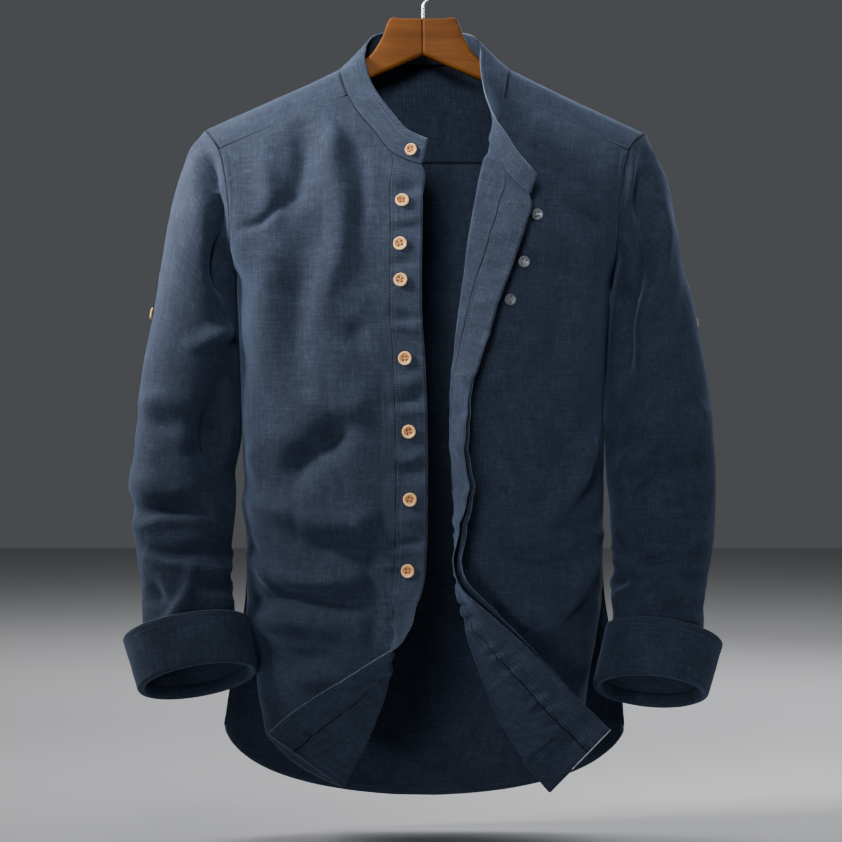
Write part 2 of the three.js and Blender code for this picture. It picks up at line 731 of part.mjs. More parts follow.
// Round button with a raised rim, its back on the given point
function button(place, facing, radius) {
  const profile = BUTTON_PROFILE.map(({ share, height }) => {
    return new THREE.Vector2(share * radius, height * radius / 7);
  });
  const out = unit(facing);
  const right = unit(cross([0, 0, 1], out));
  const up = cross(out, right);
  const basis = new THREE.Matrix4().makeBasis(vector(right), vector(out), vector(up).negate());
  const disc = joined(new THREE.LatheGeometry(profile, 12).applyMatrix4(basis.setPosition(vector(place))));
  return drilled(disc, place, out, right, up, radius);
}

function vector(point) {
  return new THREE.Vector3(...point);
}

// A geometry with its seams closed and its empty triangles left out
function joined(geometry) {
  geometry.deleteAttribute('normal');
  geometry.deleteAttribute('uv');
  const merged = mergeVertices(geometry, 0.001);
  const index = [];
  for (let i = 0; i < merged.index.count; i += 3) {
    const [a, b, c] = merged.index.array.slice(i, i + 3);
    if (a !== b && b !== c && c !== a) index.push(a, b, c);
  }
  return solid([...merged.attributes.position.array], index);
}

// Four thread holes through a button
function drilled(geometry, place, out, right, up, radius) {
  const reach = radius * 0.27;
  let body = new manifold.Manifold(new manifold.Mesh({
    numProp: 3,
    vertProperties: geometry.attributes.position.array,
    triVerts: new Uint32Array(geometry.index.array),
  }));
  for (const [sx, sy] of [[1, 1], [-1, 1], [-1, -1], [1, -1]]) {
    const middle = add(add(place, right, sx * reach), up, sy * reach);
    const matrix = [...right, 0, ...up, 0, ...out, 0, ...middle, 1];
    const hole = manifold.Manifold.cylinder(radius, radius * 0.14, radius * 0.14, 6, true);
    body = body.subtract(hole.transform(matrix));
  }
  const mesh = body.getMesh();
  const positions = [];
  for (let i = 0; i < mesh.vertProperties.length; i += mesh.numProp) {
    positions.push(...mesh.vertProperties.slice(i, i + 3));
  }
  return solid(positions, [...mesh.triVerts]);
}

// Point and outward direction on a grid at a place in front elevation
function seat(grid, x, z, thick) {
  let best = null;
  const inside = (a, b, c) => {
    const d = (b[0] - a[0]) * (c[2] - a[2]) - (c[0] - a[0]) * (b[2] - a[2]);
    const u = ((x - a[0]) * (c[2] - a[2]) - (c[0] - a[0]) * (z - a[2])) / d;
    const v = ((b[0] - a[0]) * (z - a[2]) - (x - a[0]) * (b[2] - a[2])) / d;
    if (u < 0 || v < 0 || u + v > 1) return;
    const point = add(add(a, between(a, b), u), between(a, c), v);
    let normal = unit(cross(between(a, b), between(a, c)));
    if (normal[1] > 0) normal = normal.map((n) => -n);
    if (!best || point[1] < best.point[1]) best = { point, normal };
  };
  for (let r = 0; r < grid.length - 1; r += 1) {
    for (let c = 0; c < grid[0].length - 1; c += 1) {
      inside(grid[r][c], grid[r + 1][c], grid[r + 1][c + 1]);
      inside(grid[r][c], grid[r + 1][c + 1], grid[r][c + 1]);
    }
  }
  return { place: add(best.point, best.normal, thick / 2 + 0.6), facing: best.normal };
}

// Point and outward direction on a sleeve at a row and column of its grid
function seatOnSleeve(rings, r, c) {
  const side = Math.sign(rings[r][0][0]);
  const count = rings[0].length;
  const along = between(rings[r - 1][c], rings[r + 1][c]);
  const round = between(rings[r][(c + count - 1) % count], rings[r][(c + 1) % count]);
  let normal = unit(cross(along, round));
  if (normal[0] * side < 0) normal = normal.map((n) => -n);
  return { place: add(rings[r][c], normal, CLOTH / 2 + 0.6), facing: normal };
}

// Hanger

function hangerArm(side) {
  const rings = HANGER_ARM.map((row) => {
    const middle = (row.top + row.bottom) / 2;
    const half = (row.top - row.bottom) / 2;
    const soft = Math.min(half, row.half) * 0.75;
    const ring = [];
    for (const [sy, sz] of [[1, 1], [-1, 1], [-1, -1], [1, -1]]) {
      for (const corner of [0, 0.5, 1]) {
        const swing = (sy * sz > 0 ? corner : 1 - corner) * Math.PI / 2;
        const y = sy * (row.half - soft + soft * Math.cos(swing));
        const z = sz * (half - soft + soft * Math.sin(swing));
        ring.push([side * row.x, row.y + y, middle + z]);
      }
    }
    return ring;
  });
  return loft(rings);
}

function hookRod() {
  const path = new THREE.CatmullRomCurve3(HOOK.map(({ x, z }) => new THREE.Vector3(x, 0, z)));
  const round = new THREE.Shape().absarc(0, 0, HOOK_RADIUS, 0, Math.PI * 2);
  return joined(new THREE.ExtrudeGeometry(round, { steps: 34, curveSegments: 5, extrudePath: path }));
}

// The whole shirt

const group = new THREE.Group();
group.name = 'shirt';

function part(name, geometry, colour, roughness = 0.9, metalness = 0) {
  const material = new THREE.MeshStandardMaterial({ color: colour, roughness, metalness });
  const mesh = new THREE.Mesh(geometry, material);
  mesh.name = name;
  group.add(mesh);
}

const right = frontGrids(FRONT_RIGHT, FOLDS_RIGHT, 3, [2, 0]);
const left = frontGrids(FRONT_LEFT, FOLDS_LEFT, 5, [24, 26]);
const holeRight = armhole(SHOULDER_RIGHT, FRONT_RIGHT, 8);
const holeLeft = armhole(SHOULDER_LEFT, FRONT_LEFT, 9);
const sleeveR = sleeveAndCuff(SLEEVE_RIGHT, CUFF_RIGHT, holeRight);
const sleeveL = sleeveAndCuff(SLEEVE_LEFT, CUFF_LEFT, holeLeft);

part('back', wall(backGrid(), CLOTH), NAVY);
part('yoke', wall(yokeGrid(), CLOTH), NAVY);
part('front_right', wall(right.panel, CLOTH), NAVY);
part('front_left', wall(left.panel, CLOTH), NAVY);
part('placket_right', wall(right.band, DOUBLE), NAVY_DARK);
part('placket_left', wall(left.band, PLY), NAVY_DARK);
part('placket_left_outer', wall(outerPly(left.band), PLY), NAVY_DARK);
part('collar', wall(collarGrid(), DOUBLE), NAVY_DARK);
part('sleeve_right', wall(sleeveR.rings, CLOTH, true), NAVY);
part('sleeve_left', wall(sleeveL.rings, CLOTH, true), NAVY);
part('cuff_right', wall(sleeveR.cuff, DOUBLE, true), NAVY_DARK);
part('cuff_left', wall(sleeveL.cuff, DOUBLE, true), NAVY_DARK);

const collarSeat = seatOnCollar();
part('collar_button', button(collarSeat.place, collarSeat.facing, COLLAR_BUTTON.radius), BUTTON_TAN, 0.45);
BUTTONS.forEach((row, i) => {
  const { place, facing } = seat(right.band, row.x, row.z, DOUBLE);
  part(`button_${i + 1}`, button(place, facing, row.radius), BUTTON_TAN, 0.45);
});
DARK_BUTTONS.forEach((row, i) => {
  const body = left.panel.map((points) => points.slice(0, FRONT_BODY_COLUMNS + 1));
  const { place, facing } = seat(body, row.x, row.z, CLOTH);
  part(`dark_button_${i + 1}`, button(place, facing, row.radius), BUTTON_DARK, 0.35, 0.6);
});

[[sleeveR.rings, 0], [sleeveL.rings, SLEEVE_COLUMNS - 1]].forEach(([rings, c], i) => {
  const { place, facing } = seatOnSleeve(rings, SLEEVE_BUTTON_ROW, c);
  part(`sleeve_button_${i + 1}`, button(place, facing, SLEEVE_BUTTON_RADIUS), BUTTON_TAN, 0.45);
});

part('hanger_arm_right', hangerArm(-1), WOOD, 0.4);
part('hanger_arm_left', hangerArm(1), WOOD, 0.4);
part('hanger_hook', hookRod(), STEEL, 0.25, 1);

export default group;
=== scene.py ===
# Open mandarin collar shirt on a wooden hanger, from one photograph.
# Millimetres in the tables, metres in Blender. The front faces -Y, Z is up.

import math

import bpy
import numpy as np
from mathutils import Matrix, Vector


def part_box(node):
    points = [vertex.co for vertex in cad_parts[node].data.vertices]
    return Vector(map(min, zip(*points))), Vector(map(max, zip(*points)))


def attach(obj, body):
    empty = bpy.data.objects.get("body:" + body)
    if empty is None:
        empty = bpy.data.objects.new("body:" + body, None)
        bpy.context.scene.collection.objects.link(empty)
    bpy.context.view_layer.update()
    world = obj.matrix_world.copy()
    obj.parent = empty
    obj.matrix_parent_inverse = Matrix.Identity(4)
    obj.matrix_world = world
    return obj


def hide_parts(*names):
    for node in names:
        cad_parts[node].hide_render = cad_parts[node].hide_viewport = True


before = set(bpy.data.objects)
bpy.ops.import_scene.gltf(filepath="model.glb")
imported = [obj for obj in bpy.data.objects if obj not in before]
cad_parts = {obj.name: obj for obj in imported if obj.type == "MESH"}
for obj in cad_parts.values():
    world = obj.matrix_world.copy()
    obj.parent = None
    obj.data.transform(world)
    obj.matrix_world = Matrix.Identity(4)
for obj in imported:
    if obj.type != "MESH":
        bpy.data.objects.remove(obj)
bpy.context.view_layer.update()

MM = 0.001

# Thicknesses and spaces, in millimetres. LIP is a share of half a thickness.
CLOTH = 1.0
DOUBLE = 2.0
PLY = 1.0
PLY_SPACE = 0.5
PLY_PARTED = 7.0
BAND_WIDTH = 32.0
BUTTON_LIFT = 0.9
HEM_EXTRA = 0.9
LIP = 0.8
NOISE_CELLS = 64
SEAM_SPACE = 0.6
SIDE_SPACE = 0.7

# Grid sizes
ROWS_EACH = 12
BACK_ROWS_EACH = 8
SLEEVE_ROWS_EACH = 10
BODY_COLUMNS = 64
EDGE_COLUMNS = 10
EDGE_REACH = 12.0
TURN_COLUMNS = 14
FLAP_COLUMNS = 28
BAND_COLUMNS = 14
BACK_COLUMNS = 150
SLEEVE_COLUMNS = 132
YOKE_ROWS = 40
YOKE_COLUMNS_BACK = 120
SHOULDER_COLUMNS_EACH = 5
COLLAR_ROWS = 16
COLLAR_COLUMNS = 420
BODY_SAMPLES = 90
TURN_SAMPLES = 24
RIM_STEPS = 32
CUFF_ROWS = 24
TAIL_ROWS = 6
BUTTON_SIDES = 48
HOLE_SIDES = 20
STITCH_SIDES = 5
ARM_RINGS = 90
ARM_CORNER_STEPS = 7
HOOK_RINGS = 150
HOOK_SIDES = 20

# How many rows the fronts' tables have, and the rows at the armpit in the tables of both fronts and the back
FRONT_ROWS = 23
ARMPIT_RIGHT = 8
ARMPIT_LEFT = 9
ARMPIT_BACK = 6


# Tables

def table(names, text):
    """Named columns of numbers, a row on each line."""
    data = np.array([[float(n) for n in line.split()] for line in text.strip().splitlines()])
    return {name: data[:, i] for i, name in enumerate(names.split())}


# Right front, from the yoke seam down to the hem
FRONT_RIGHT = table("xs ys zs xr yr zr xe ye ze full turn", """
-211 -40 -203 -91 -34 -152 -78 -33 -147 1.0 6
-207 -48 -216 -80 -48 -172 -66 -47 -168 1.3 6
-204 -54 -230 -64 -58 -191 -50 -58 -187 1.6 6
-202 -58 -243 -48 -66 -209 -2 -78 -223 1.9 6
-199.5 -60 -262 -43 -84 -252 -1 -89 -255 2.1 6
-198.5 -57 -284 -42 -95 -291 -1.5 -100 -294 2.2 6
-198.5 -45 -304 -42 -103 -325 -2 -107 -327 2.3 6
-196.5 -22 -321 -41 -108 -352 -2 -112 -354 2.3 6
-194 5 -330 -41 -111 -380 -1.5 -115 -382 2.4 6
-192.5 6 -375 -39 -113 -415 1 -117 -416 2.4 6
-190.5 6 -430 -37 -114 -460 3 -118 -460 2.4 6
-188.7 6 -490 -36 -114 -510 4.2 -118 -510 2.4 6
-185 7 -550 -36 -114 -560 4 -119 -560 2.4 6
-185 8 -600 -35 -114 -605 3.5 -120 -605 2.4 6
-185 9 -642 -34 -114 -645 1 -124 -645 2.4 6
-184.5 9 -665 -31 -115 -669 -5.6 -138 -668 2.4 6
-184 8 -683 -28.5 -116 -690 -16 -150 -697 2.4 6
-180 2 -705 -28.5 -117 -713 -29 -156 -712 2.3 6
-176 -6 -727 -32 -118 -737 -53 -158 -726 2.2 5.5
-173 -16 -748 -39.5 -119 -765 -80 -154 -743 2.1 5
-170 -28 -768 -51 -120 -795 -107 -149 -760 2.0 4.5
-166 -38 -784 -64.5 -120 -825 -132 -146 -777 2.0 4
-162 -48 -797 -79 -120 -852 -155 -143 -797 2.0 4
""")

# Left front, its upper edge turned back as a lapel
FRONT_LEFT = table("xs ys zs xr yr zr xe ye ze full turn", """
213 -41 -205 98 -34 -154 85 -33 -149 1.0 6
209 -49 -218 96 -47 -171 82 -46 -166 1.3 6
206 -55 -232 88 -61 -188 75 -62 -182 1.6 6
204 -59 -246 74 -70 -203 68 -76 -195 1.9 6
202 -60 -260 64 -79 -214 71 -91 -207 2.0 5
201 -58 -275 60 -86 -226 107.5 -118 -255.6 2.1 5
200.5 -50 -295 53 -95 -262 103.6 -126 -284.5 2.2 5
200 -32 -314 46 -102 -300 92 -131 -319 2.3 5
198 -8 -328 41 -107 -338 78 -136 -357 2.3 5
195 5 -345 36 -110 -375 66 -141 -394 2.4 5
191.5 6 -385 31 -112 -415 54 -146 -432 2.4 5
190 6 -430 27.5 -114 -456 44 -149 -468 2.4 5
189 6 -480 27 -115 -503 42 -151 -513 2.4 5
189 7 -540 30 -115 -550 44 -152 -556 2.4 5
188.5 8 -590 32 -116 -590 37 -154 -593 2.4 5
188 9 -630 32.5 -116 -624 30 -154 -622 2.4 5
188 10 -660 34 -116 -650 37 -156 -649 2.3 5
186 9 -683 39 -117 -677 58 -155 -670 2.2 5
181 3 -708 46 -117 -706 82 -153 -691 2.1 5
176 -6 -732 56 -118 -737 105 -150 -712 2.0 5
172 -17 -753 68 -118 -768 127 -147 -734 2.0 4.5
169 -29 -772 83 -119 -797 147 -145 -755 2.0 4
166 -40 -786 105 -119 -828 167 -143 -775 2.0 4
163 -50 -797 131 -119 -858 187 -143 -794 2.0 4
""")

BACK = table("xright xleft yside zside ymid zmid full rise", """
-203.5 206 44 -212 90 -206 2.0 3
-199 202 52 -232 95 -232 2.2 3
-196 199 58 -258 99 -258 2.2 3
-195 198 57 -284 102 -284 2.3 3
-195 198 44 -306 104 -308 2.3 3
-194.5 197.5 22 -322 105 -326 2.4 3
-194 196.5 6 -330 106 -340 2.4 3
-192.8 192 6 -370 108 -375 2.4 3
-190.5 190 6 -430 109 -430 2.4 3
-188.7 189 6 -490 110 -490 2.4 3
-185 189 7 -550 111 -550 2.4 3
-185 188 8 -610 112 -610 2.4 3
-186 190 10 -660 113 -665 2.4 3
-190 195 13 -695 114 -715 2.4 2.6
-199 204 20 -740 116 -770 2.5 2.2
-206 210.5 26 -778 118 -825 2.6 1.8
-210 212.5 30 -806 120 -892 2.7 1.6
""")

SHOULDER_RIGHT = table("neck x y z", """
5 -211 -40 -203
5.5 -217 -30 -194
6 -222.5 -18 -186.5
6.5 -226.5 -8 -181.8
7 -228.5 0 -180
7.4 -226.5 9 -182
7.8 -221 20 -188
8.3 -213 33 -198
8.7 -203.5 44 -212
""")
SHOULDER_LEFT = table("neck x y z", """
15.3 206 44 -212
15.7 216 33 -199
16.2 225 20 -190
16.6 231 9 -185.5
17 233.5 0 -184
17.5 231 -8 -185.5
18 226 -18 -189.5
18.5 219.5 -30 -196
19 213 -41 -205
""")

# Neck seam and the collar's top edge, from the right front end to the left
NECK = table("x y z xt yt zt", """
-2 -78 -223 4 -80 -196.4
-18.4 -74 -217 -6.1 -73 -191.5
-35 -69 -207 -18.5 -67 -184
-50 -58 -187 -34 -55 -164.5
-66 -47 -168 -47 -42 -146
-78 -33 -147 -56 -28 -128
-86 -14 -123.5 -61 -13 -107
-87 0 -117 -60.5 0 -95
-85 14 -112.5 -59 9 -88
-76 29 -108 -53 20 -78.5
-55 42 -105.6 -40 32 -73
-28 49 -105.6 -21 39.5 -70.5
0 51 -105.6 0 41 -69.6
28 49 -105.6 21 39.5 -70.5
55 42 -105.6 40 32 -73
78 29 -108 53 20 -78
88 14 -112.5 59 9 -86
90 0 -116.5 60.5 -2 -95
89 -14 -124 60 -17 -112
85 -33 -149 61.6 -36 -131
82 -46 -166 64.5 -60 -149
75 -62 -182 69 -81 -165
68 -76 -195 75 -97 -180
71 -91 -207 83 -111 -193
82 -104 -228 94 -122 -212
94 -112 -243 104 -130 -225
107.5 -118 -255.6 114 -134 -237
""")

SLEEVE_RIGHT = table("xo zo xi zi y deep tilt hold", """
-228.5 -180 -194 -330 0 58 0 1
-241 -195 -195.3 -333 0 58 0 0.8
-250 -216 -196.2 -338 1 58 0 0.55
-259 -241 -196.4 -348 2 58 0 0.3
-266.5 -275 -195.8 -366 3 57 0 0.1
-273 -318 -194.6 -392 4 56 0 0
-282 -372 -193.2 -426 4 55 2 0
-293 -428 -191.8 -462 2 54 5 0
-300 -482 -190.9 -497 -3 52 8 0
-303 -532 -191.5 -534 -10 50 12 0
-302.5 -580 -196 -576 -18 47 16 0
-298 -622 -198 -614 -28 44 19 0
-292 -662 -199 -652 -38 42 22 0
-288 -702 -193 -692 -49 42 24 0
-286 -735 -183 -718 -57 43 25 0
""")
SLEEVE_LEFT = table("xo zo xi zi y deep tilt hold", """
233.5 -184 195 -345 0 58 0 1
242 -197 197.6 -346 0 58 0 0.8
252 -220 197.9 -350 1 58 0 0.55
260.5 -248 197.5 -358 2 58 0 0.3
269 -284 196 -374 3 57 0 0.1
277 -328 194.2 -398 4 56 0 0
287 -380 192.6 -430 4 55 2 0
297 -436 191.6 -464 2 54 5 0
302.5 -490 190.9 -500 -4 52 8 0
304.5 -540 192.4 -540 -11 50 12 0
303.5 -586 195.5 -584 -20 47 16 0
299 -628 196 -624 -29 44 19 0
292 -668 198 -662 -39 42 22 0
288 -706 195 -700 -49 42 24 0
286 -740 187 -730 -57 43 25 0
""")
CUFF_RIGHT = table("xo zo xi zi y deep tilt", """
-290 -762 -174 -741 -62 47 25
-309 -712 -180 -690 -44 53 23
""")
CUFF_LEFT = table("xo zo xi zi y deep tilt", """
290.5 -767 179 -757 -62 47 25
309 -717 190 -697 -44 53 23
""")
CUFF_TURN = table("out down", """
-3 -9
-3 -5
-3 0
-2.6 1.5
-1.5 2.6
0 3
1.5 2.6
2.6 1.5
3 0
""")

HANGER_ARM = table("x top bottom half y", """
0.15 -62.4 -101.5 8 0
20 -62.4 -110 8 0
34.5 -62.6 -116.3 8 0
43 -82 -119.8 8 0
54 -99.5 -124.6 7.8 0
70 -111.5 -131.5 7.6 0.5
88 -121 -139.5 7.5 1
120 -135.2 -154 7.2 1
160 -151.9 -172 6.8 1
190 -165.3 -185 6.2 1
203 -171.4 -188 5.5 1
208 -176 -185 3.5 1
""")
HOOK_RADIUS = 1.7
HOOK = table("x z", """
0 -62.1
0 -52
1.2 -46
6 -40.5
12.5 -35
17.5 -27.5
19 -17.3
16.5 -7.8
9.5 -0.8
0 1.7
-9.5 -0.8
-16.5 -7.8
-19 -17.3
-17.6 -24.5
""")

# Creases: a soft ridge (+) or trough (-) from one point to another, in front elevation
CREASES_RIGHT = table("x1 z1 x2 z2 wide high", """
-163 -210 -153 -276 12 3
-125 -182 -135 -261 13 -4.5
-81 -164 -83 -261 14 4
-83 -261 -102 -362 14 4
-63 -171 -62 -301 12 -2
-186 -287 -148 -266 5 -4.5
-148 -266 -119 -251 7 -2
-120 -311 -125 -443 18 -5
-157 -321 -155 -443 15 4
-79 -392 -52 -408 14 -3
-58 -346 -31 -346 4.5 -2.2
-56 -362 -31 -354 5 1.6
-80 -488 -112 -516 15 -8
-112 -516 -141 -552 15 -8
-52 -465 -94 -475 16 4
-176 -571 -125 -577 15 6
-125 -577 -74 -590 15 7
-74 -590 -27 -595 12 6
-125 -605 -84 -615 12 -5
-84 -615 -25 -617 12 -7
-59 -620 -50 -707 10 -5
-155 -641 -67 -643 11 5
-170 -668 -65 -670 11 -8
-173 -690 -94 -696 11 5.5
-160 -717 -102 -725 11 -5.5
-177 -625 -155 -658 6 3.5
-182 -605 -167 -627 6 -3
-140 -739 -94 -749 11 4
-125 -463 -94 -458 20 2
-170 -504 -163 -544 10 3
""")
CREASES_LEFT = table("x1 z1 x2 z2 wide high", """
152 -263 181 -287 4.5 -3.8
145 -246 185 -273 9 2
112 -180 119 -261 10 2.5
135 -311 127 -443 16 -4
170 -301 167 -443 15 4
169 -500 164 -526 10 7
164 -526 131 -585 10 7
177 -544 141 -589 8 -5
127 -594 179 -586 5.5 -4
125 -603 182 -603 7 5
86 -616 139 -621 9 -6
139 -621 171 -615 7 -6
172 -619 149 -660 9 7
149 -660 106 -694 11 6
177 -666 145 -700 10 -6
145 -700 102 -711 11 -6
169 -719 159 -757 9 4
135 -735 145 -771 8 -3
78 -656 94 -678 12 3
98 -534 119 -565 14 3
""")
CREASES_SLEEVE_RIGHT = table("x1 z1 x2 z2 wide high", """
-223 -203 -216 -246 12 -8
-216 -246 -205 -292 13 -10
-205 -292 -191 -360 13 -10
-234 -215 -225 -292 16 3
-236 -407 -191 -390 9 6
-208 -455 -204 -546 19 -14
-294 -466 -241 -472 9 3
-292 -483 -245 -488 9 -4
-300 -545 -259 -548 11 4
-243 -518 -225 -516 8 -4
-302 -555 -241 -553 9 4
-302 -578 -223 -580 8 -6.5
-296 -594 -218 -588 7 5
-287 -613 -241 -619 8 -6
-241 -619 -195 -621 8 -6
-283 -625 -239 -636 5 4.5
-239 -636 -197 -636 5 4.5
-237 -636 -261 -690 7 6
-282 -649 -265 -672 9 -4.5
-225 -649 -201 -657 8 -5.5
-222 -660 -200 -671 6 5
-246 -679 -204 -682 7 -5
""")
CREASES_SLEEVE_LEFT = table("x1 z1 x2 z2 wide high", """
234 -213 227 -298 13 -9
227 -298 216 -360 13 -9
216 -360 208 -442 15 -9
216 -210 201 -272 8 4
247 -261 245 -329 10 5
245 -329 224 -411 10 5
263 -256 261 -391 8 -2
286 -477 226 -516 11 7
226 -516 206 -535 9 5
280 -520 234 -537 8 -6
234 -537 212 -558 8 -6
286 -533 240 -539 5 3
241 -553 270 -551 6 -5
270 -551 267 -566 6 -4
245 -581 292 -566 7 -4
204 -599 286 -597 8 5
199 -619 284 -617 7 -7
201 -630 287 -626 5 5
195 -644 212 -651 8 -5
265 -641 292 -641 8 -5
254 -632 224 -654 7 5
224 -654 197 -674 7 5
219 -678 286 -677 7 -5
253 -683 276 -685 5 3
195 -360 191 -463 16 -10
""")
CREASES_PLACKET_RIGHT = table("x1 z1 x2 z2 wide high", """
-28 -229 3 -237 5 2
-28 -248 1 -251 6 -2.2
-27 -279 -2 -277 4 1.6
-29 -288 -3 -291 4.5 -1.8
-30 -324 -2 -324 5 -1.6
-31 -375 1 -381 6 -2
-31 -390 1 -397 5 2
-29 -448 2 -441 6 1.6
-28 -465 2 -461 6 -2.2
-27 -478 3 -476 6 1.6
-25 -521 4 -518 6 2
-25 -534 4 -538 6 -2.6
-25 -585 3 -589 6 1.6
-26 -606 2 -606 6 -2.6
-26 -618 0 -615 5 2
-31 -655 -7 -669 6 2
-33 -671 -13 -686 6 -2.2
""")
CREASES_PLACKET_LEFT = table("x1 z1 x2 z2 wide high", """
77 -248 104 -258 5 1.6
69 -295 97 -303 6 -1.8
61 -325 89 -331 6 1.6
51 -363 81 -373 6 -1.8
45 -393 71 -401 6 1.8
33 -435 61 -443 7 -1.6
29 -474 47 -480 6 1.5
29 -509 51 -514 6 -1.6
33 -550 53 -548 6 1.6
27 -584 47 -594 6 -1.6
""")
CREASES_BACK = table("x1 z1 x2 z2 wide high", """
-110 -225 -120 -520 22 6
-70 -240 -60 -480 16 -4
-20 -300 -30 -640 26 -5
20 -215 25 -420 14 4
105 -225 120 -560 24 6
70 -260 62 -500 16 -4
-150 -600 -140 -760 20 -6
60 -520 70 -860 22 5
150 -600 140 -780 20 -6
-90 -560 -80 -850 18 4
0 -620 10 -880 18 -4
-185 -480 -90 -520 14 -4
185 -470 80 -520 14 -4
-180 -540 -60 -570 16 3
180 -560 70 -590 16 3
""")

# Points and surfaces

def smooth(column, place):
    """Smooth values between the rows of one column."""
    place = np.asarray(place, float)
    last = len(column) - 1
    i = np.clip(np.floor(place).astype(int), 0, last - 1)
    t = place - i
    p1 = column[i]
    p2 = column[i + 1]
    p0 = np.where(i > 0, column[np.maximum(i - 1, 0)], 2 * p1 - p2)
    p3 = np.where(i + 2 <= last, column[np.minimum(i + 2, last)], 2 * p2 - p1)
    a = 2 * p1 + (p2 - p0) * t
    b = (2 * p0 - 5 * p1 + 4 * p2 - p3) * t ** 2
    c = (3 * p1 - p0 - 3 * p2 + p3) * t ** 3
    return (a + b + c) / 2


def row_at(rows, place):
    return {key: smooth(column, place) for key, column in rows.items()}


def mix(a, b, t):
    return a + (b - a) * t


def points_of(rows, place, keys="x y z"):
    return np.stack([smooth(rows[key], place) for key in keys.split()], axis=-1)


def runs(points):
    """Distance along a run of points from its first."""
    steps = np.linalg.norm(np.diff(points, axis=0), axis=1)
    return np.concatenate([[0.0], np.cumsum(steps)])


def run_across(grid):
    """Distance along each row of a grid from its first point."""
    steps = np.linalg.norm(np.diff(grid, axis=1), axis=-1)
    return np.concatenate([np.zeros((len(grid), 1)), np.cumsum(steps, axis=1)], axis=1)


def between(distances, run, values):
    """Rows of values at distances along a run."""
    return np.stack([np.interp(distances, run, column) for column in values.T], axis=-1)


def fine_places(rows, each):
    """Places down a table, with a number of steps from one row to the next."""
    last = len(next(iter(rows.values()))) - 1
    return np.linspace(0, last, last * each + 1)


def walk(points, distances):
    """Points at distances along a run of points."""
    return between(distances, runs(points), points)


def unit(v):
    return v / np.maximum(np.linalg.norm(v, axis=-1, keepdims=True), 1e-9)


def normals_of(grid, loop=False):
    """Unit normals of a grid of points."""
    down = np.gradient(grid, axis=0)
    if loop:
        across = np.roll(grid, -1, axis=1) - np.roll(grid, 1, axis=1)
    else:
        across = np.gradient(grid, axis=1)
    return unit(np.cross(down, across))


def ease(t):
    """From 0 to 1 as t goes from 0 to 1, with a soft start and end."""
    t = np.clip(t, 0, 1)
    return t * t * (3 - 2 * t)


def bell(distance, wide):
    return np.exp(-(distance / wide) ** 2)


def noise_grid(u, v, seed):
    """Smooth noise between -1 and 1 on two coordinates."""
    lattice = np.random.RandomState(seed).uniform(-1, 1, (NOISE_CELLS, NOISE_CELLS))
    iu = np.floor(u).astype(int)
    iv = np.floor(v).astype(int)

    def soft(t):
        return t * t * t * (t * (t * 6 - 15) + 10)

    def corner(du, dv):
        return lattice[(iu + du) % NOISE_CELLS, (iv + dv) % NOISE_CELLS]

    su = soft(u - iu)
    return mix(mix(corner(0, 0), corner(1, 0), su), mix(corner(0, 1), corner(1, 1), su), soft(v - iv))


def rumple(u, v, wide, tall, seed):
    """Soft uneven cloth: three sizes of smooth noise, the smallest turned to fine ridges."""
    big = noise_grid(u / wide, v / tall, seed)
    middle = noise_grid(u / wide * 2.1 + 7.3, v / tall * 2.3 + 1.7, seed + 1)
    fine = noise_grid(u / wide * 4.7 + 3.1, v / tall * 5.1 + 9.2, seed + 2)
    return big + 0.5 * middle + 0.3 * (1 - 2 * np.abs(fine))


def rumple_round(turns, around, v, wide, tall, seed):
    """Uneven cloth round a tube, where both ends meet."""
    return mix(rumple(turns * around, v, wide, tall, seed),
               rumple((turns - 1) * around, v, wide, tall, seed), ease((turns - 0.8) / 0.2))


def creased(grid, creases):
    """Height of all creases on a grid of points, placed in front elevation."""
    height = np.zeros(grid.shape[:2])
    for i, (x1, z1, x2, z2, wide, high) in enumerate(zip(*creases.values())):
        long_x = x2 - x1
        long_z = z2 - z1
        from_x = grid[..., 0] - x1
        from_z = grid[..., 2] - z1
        share = np.clip((from_x * long_x + from_z * long_z) / (long_x ** 2 + long_z ** 2), 0, 1)
        bend = 0.12 * math.sin(i * 2.3) * np.sin(share * math.pi)
        off = np.hypot(from_x - long_x * share + long_z * bend, from_z - long_z * share - long_x * bend)
        taper = 0.35 + 0.65 * np.sin(np.clip(share, 0.02, 0.98) * math.pi)
        gain = 1.3 + 0.95 * np.clip((wide - 4.5) / 6, 0, 1)
        height += gain * high * taper * bell(off, wide)
    return height


def closed(grid):
    """A grid round a tube, with its first column once more at the end."""
    return np.concatenate([grid, grid[:, :1]], axis=1)


# Meshes

def mesh_piece(name, vertices, faces, material, uvs=None, uv_faces=None):
    mesh = bpy.data.meshes.new(name)
    mesh.from_pydata((np.asarray(vertices) * MM).tolist(), [], [list(f) for f in faces])
    if uvs is not None:
        layer = mesh.uv_layers.new(name="cloth")
        layer.data.foreach_set("uv", (uvs[uv_faces.ravel()] * MM).ravel())
    mesh.polygons.foreach_set("use_smooth", [True] * len(mesh.polygons))
    mesh.materials.append(material)
    mesh.validate()
    piece = bpy.data.objects.new(name, mesh)
    bpy.context.scene.collection.objects.link(piece)
    return piece


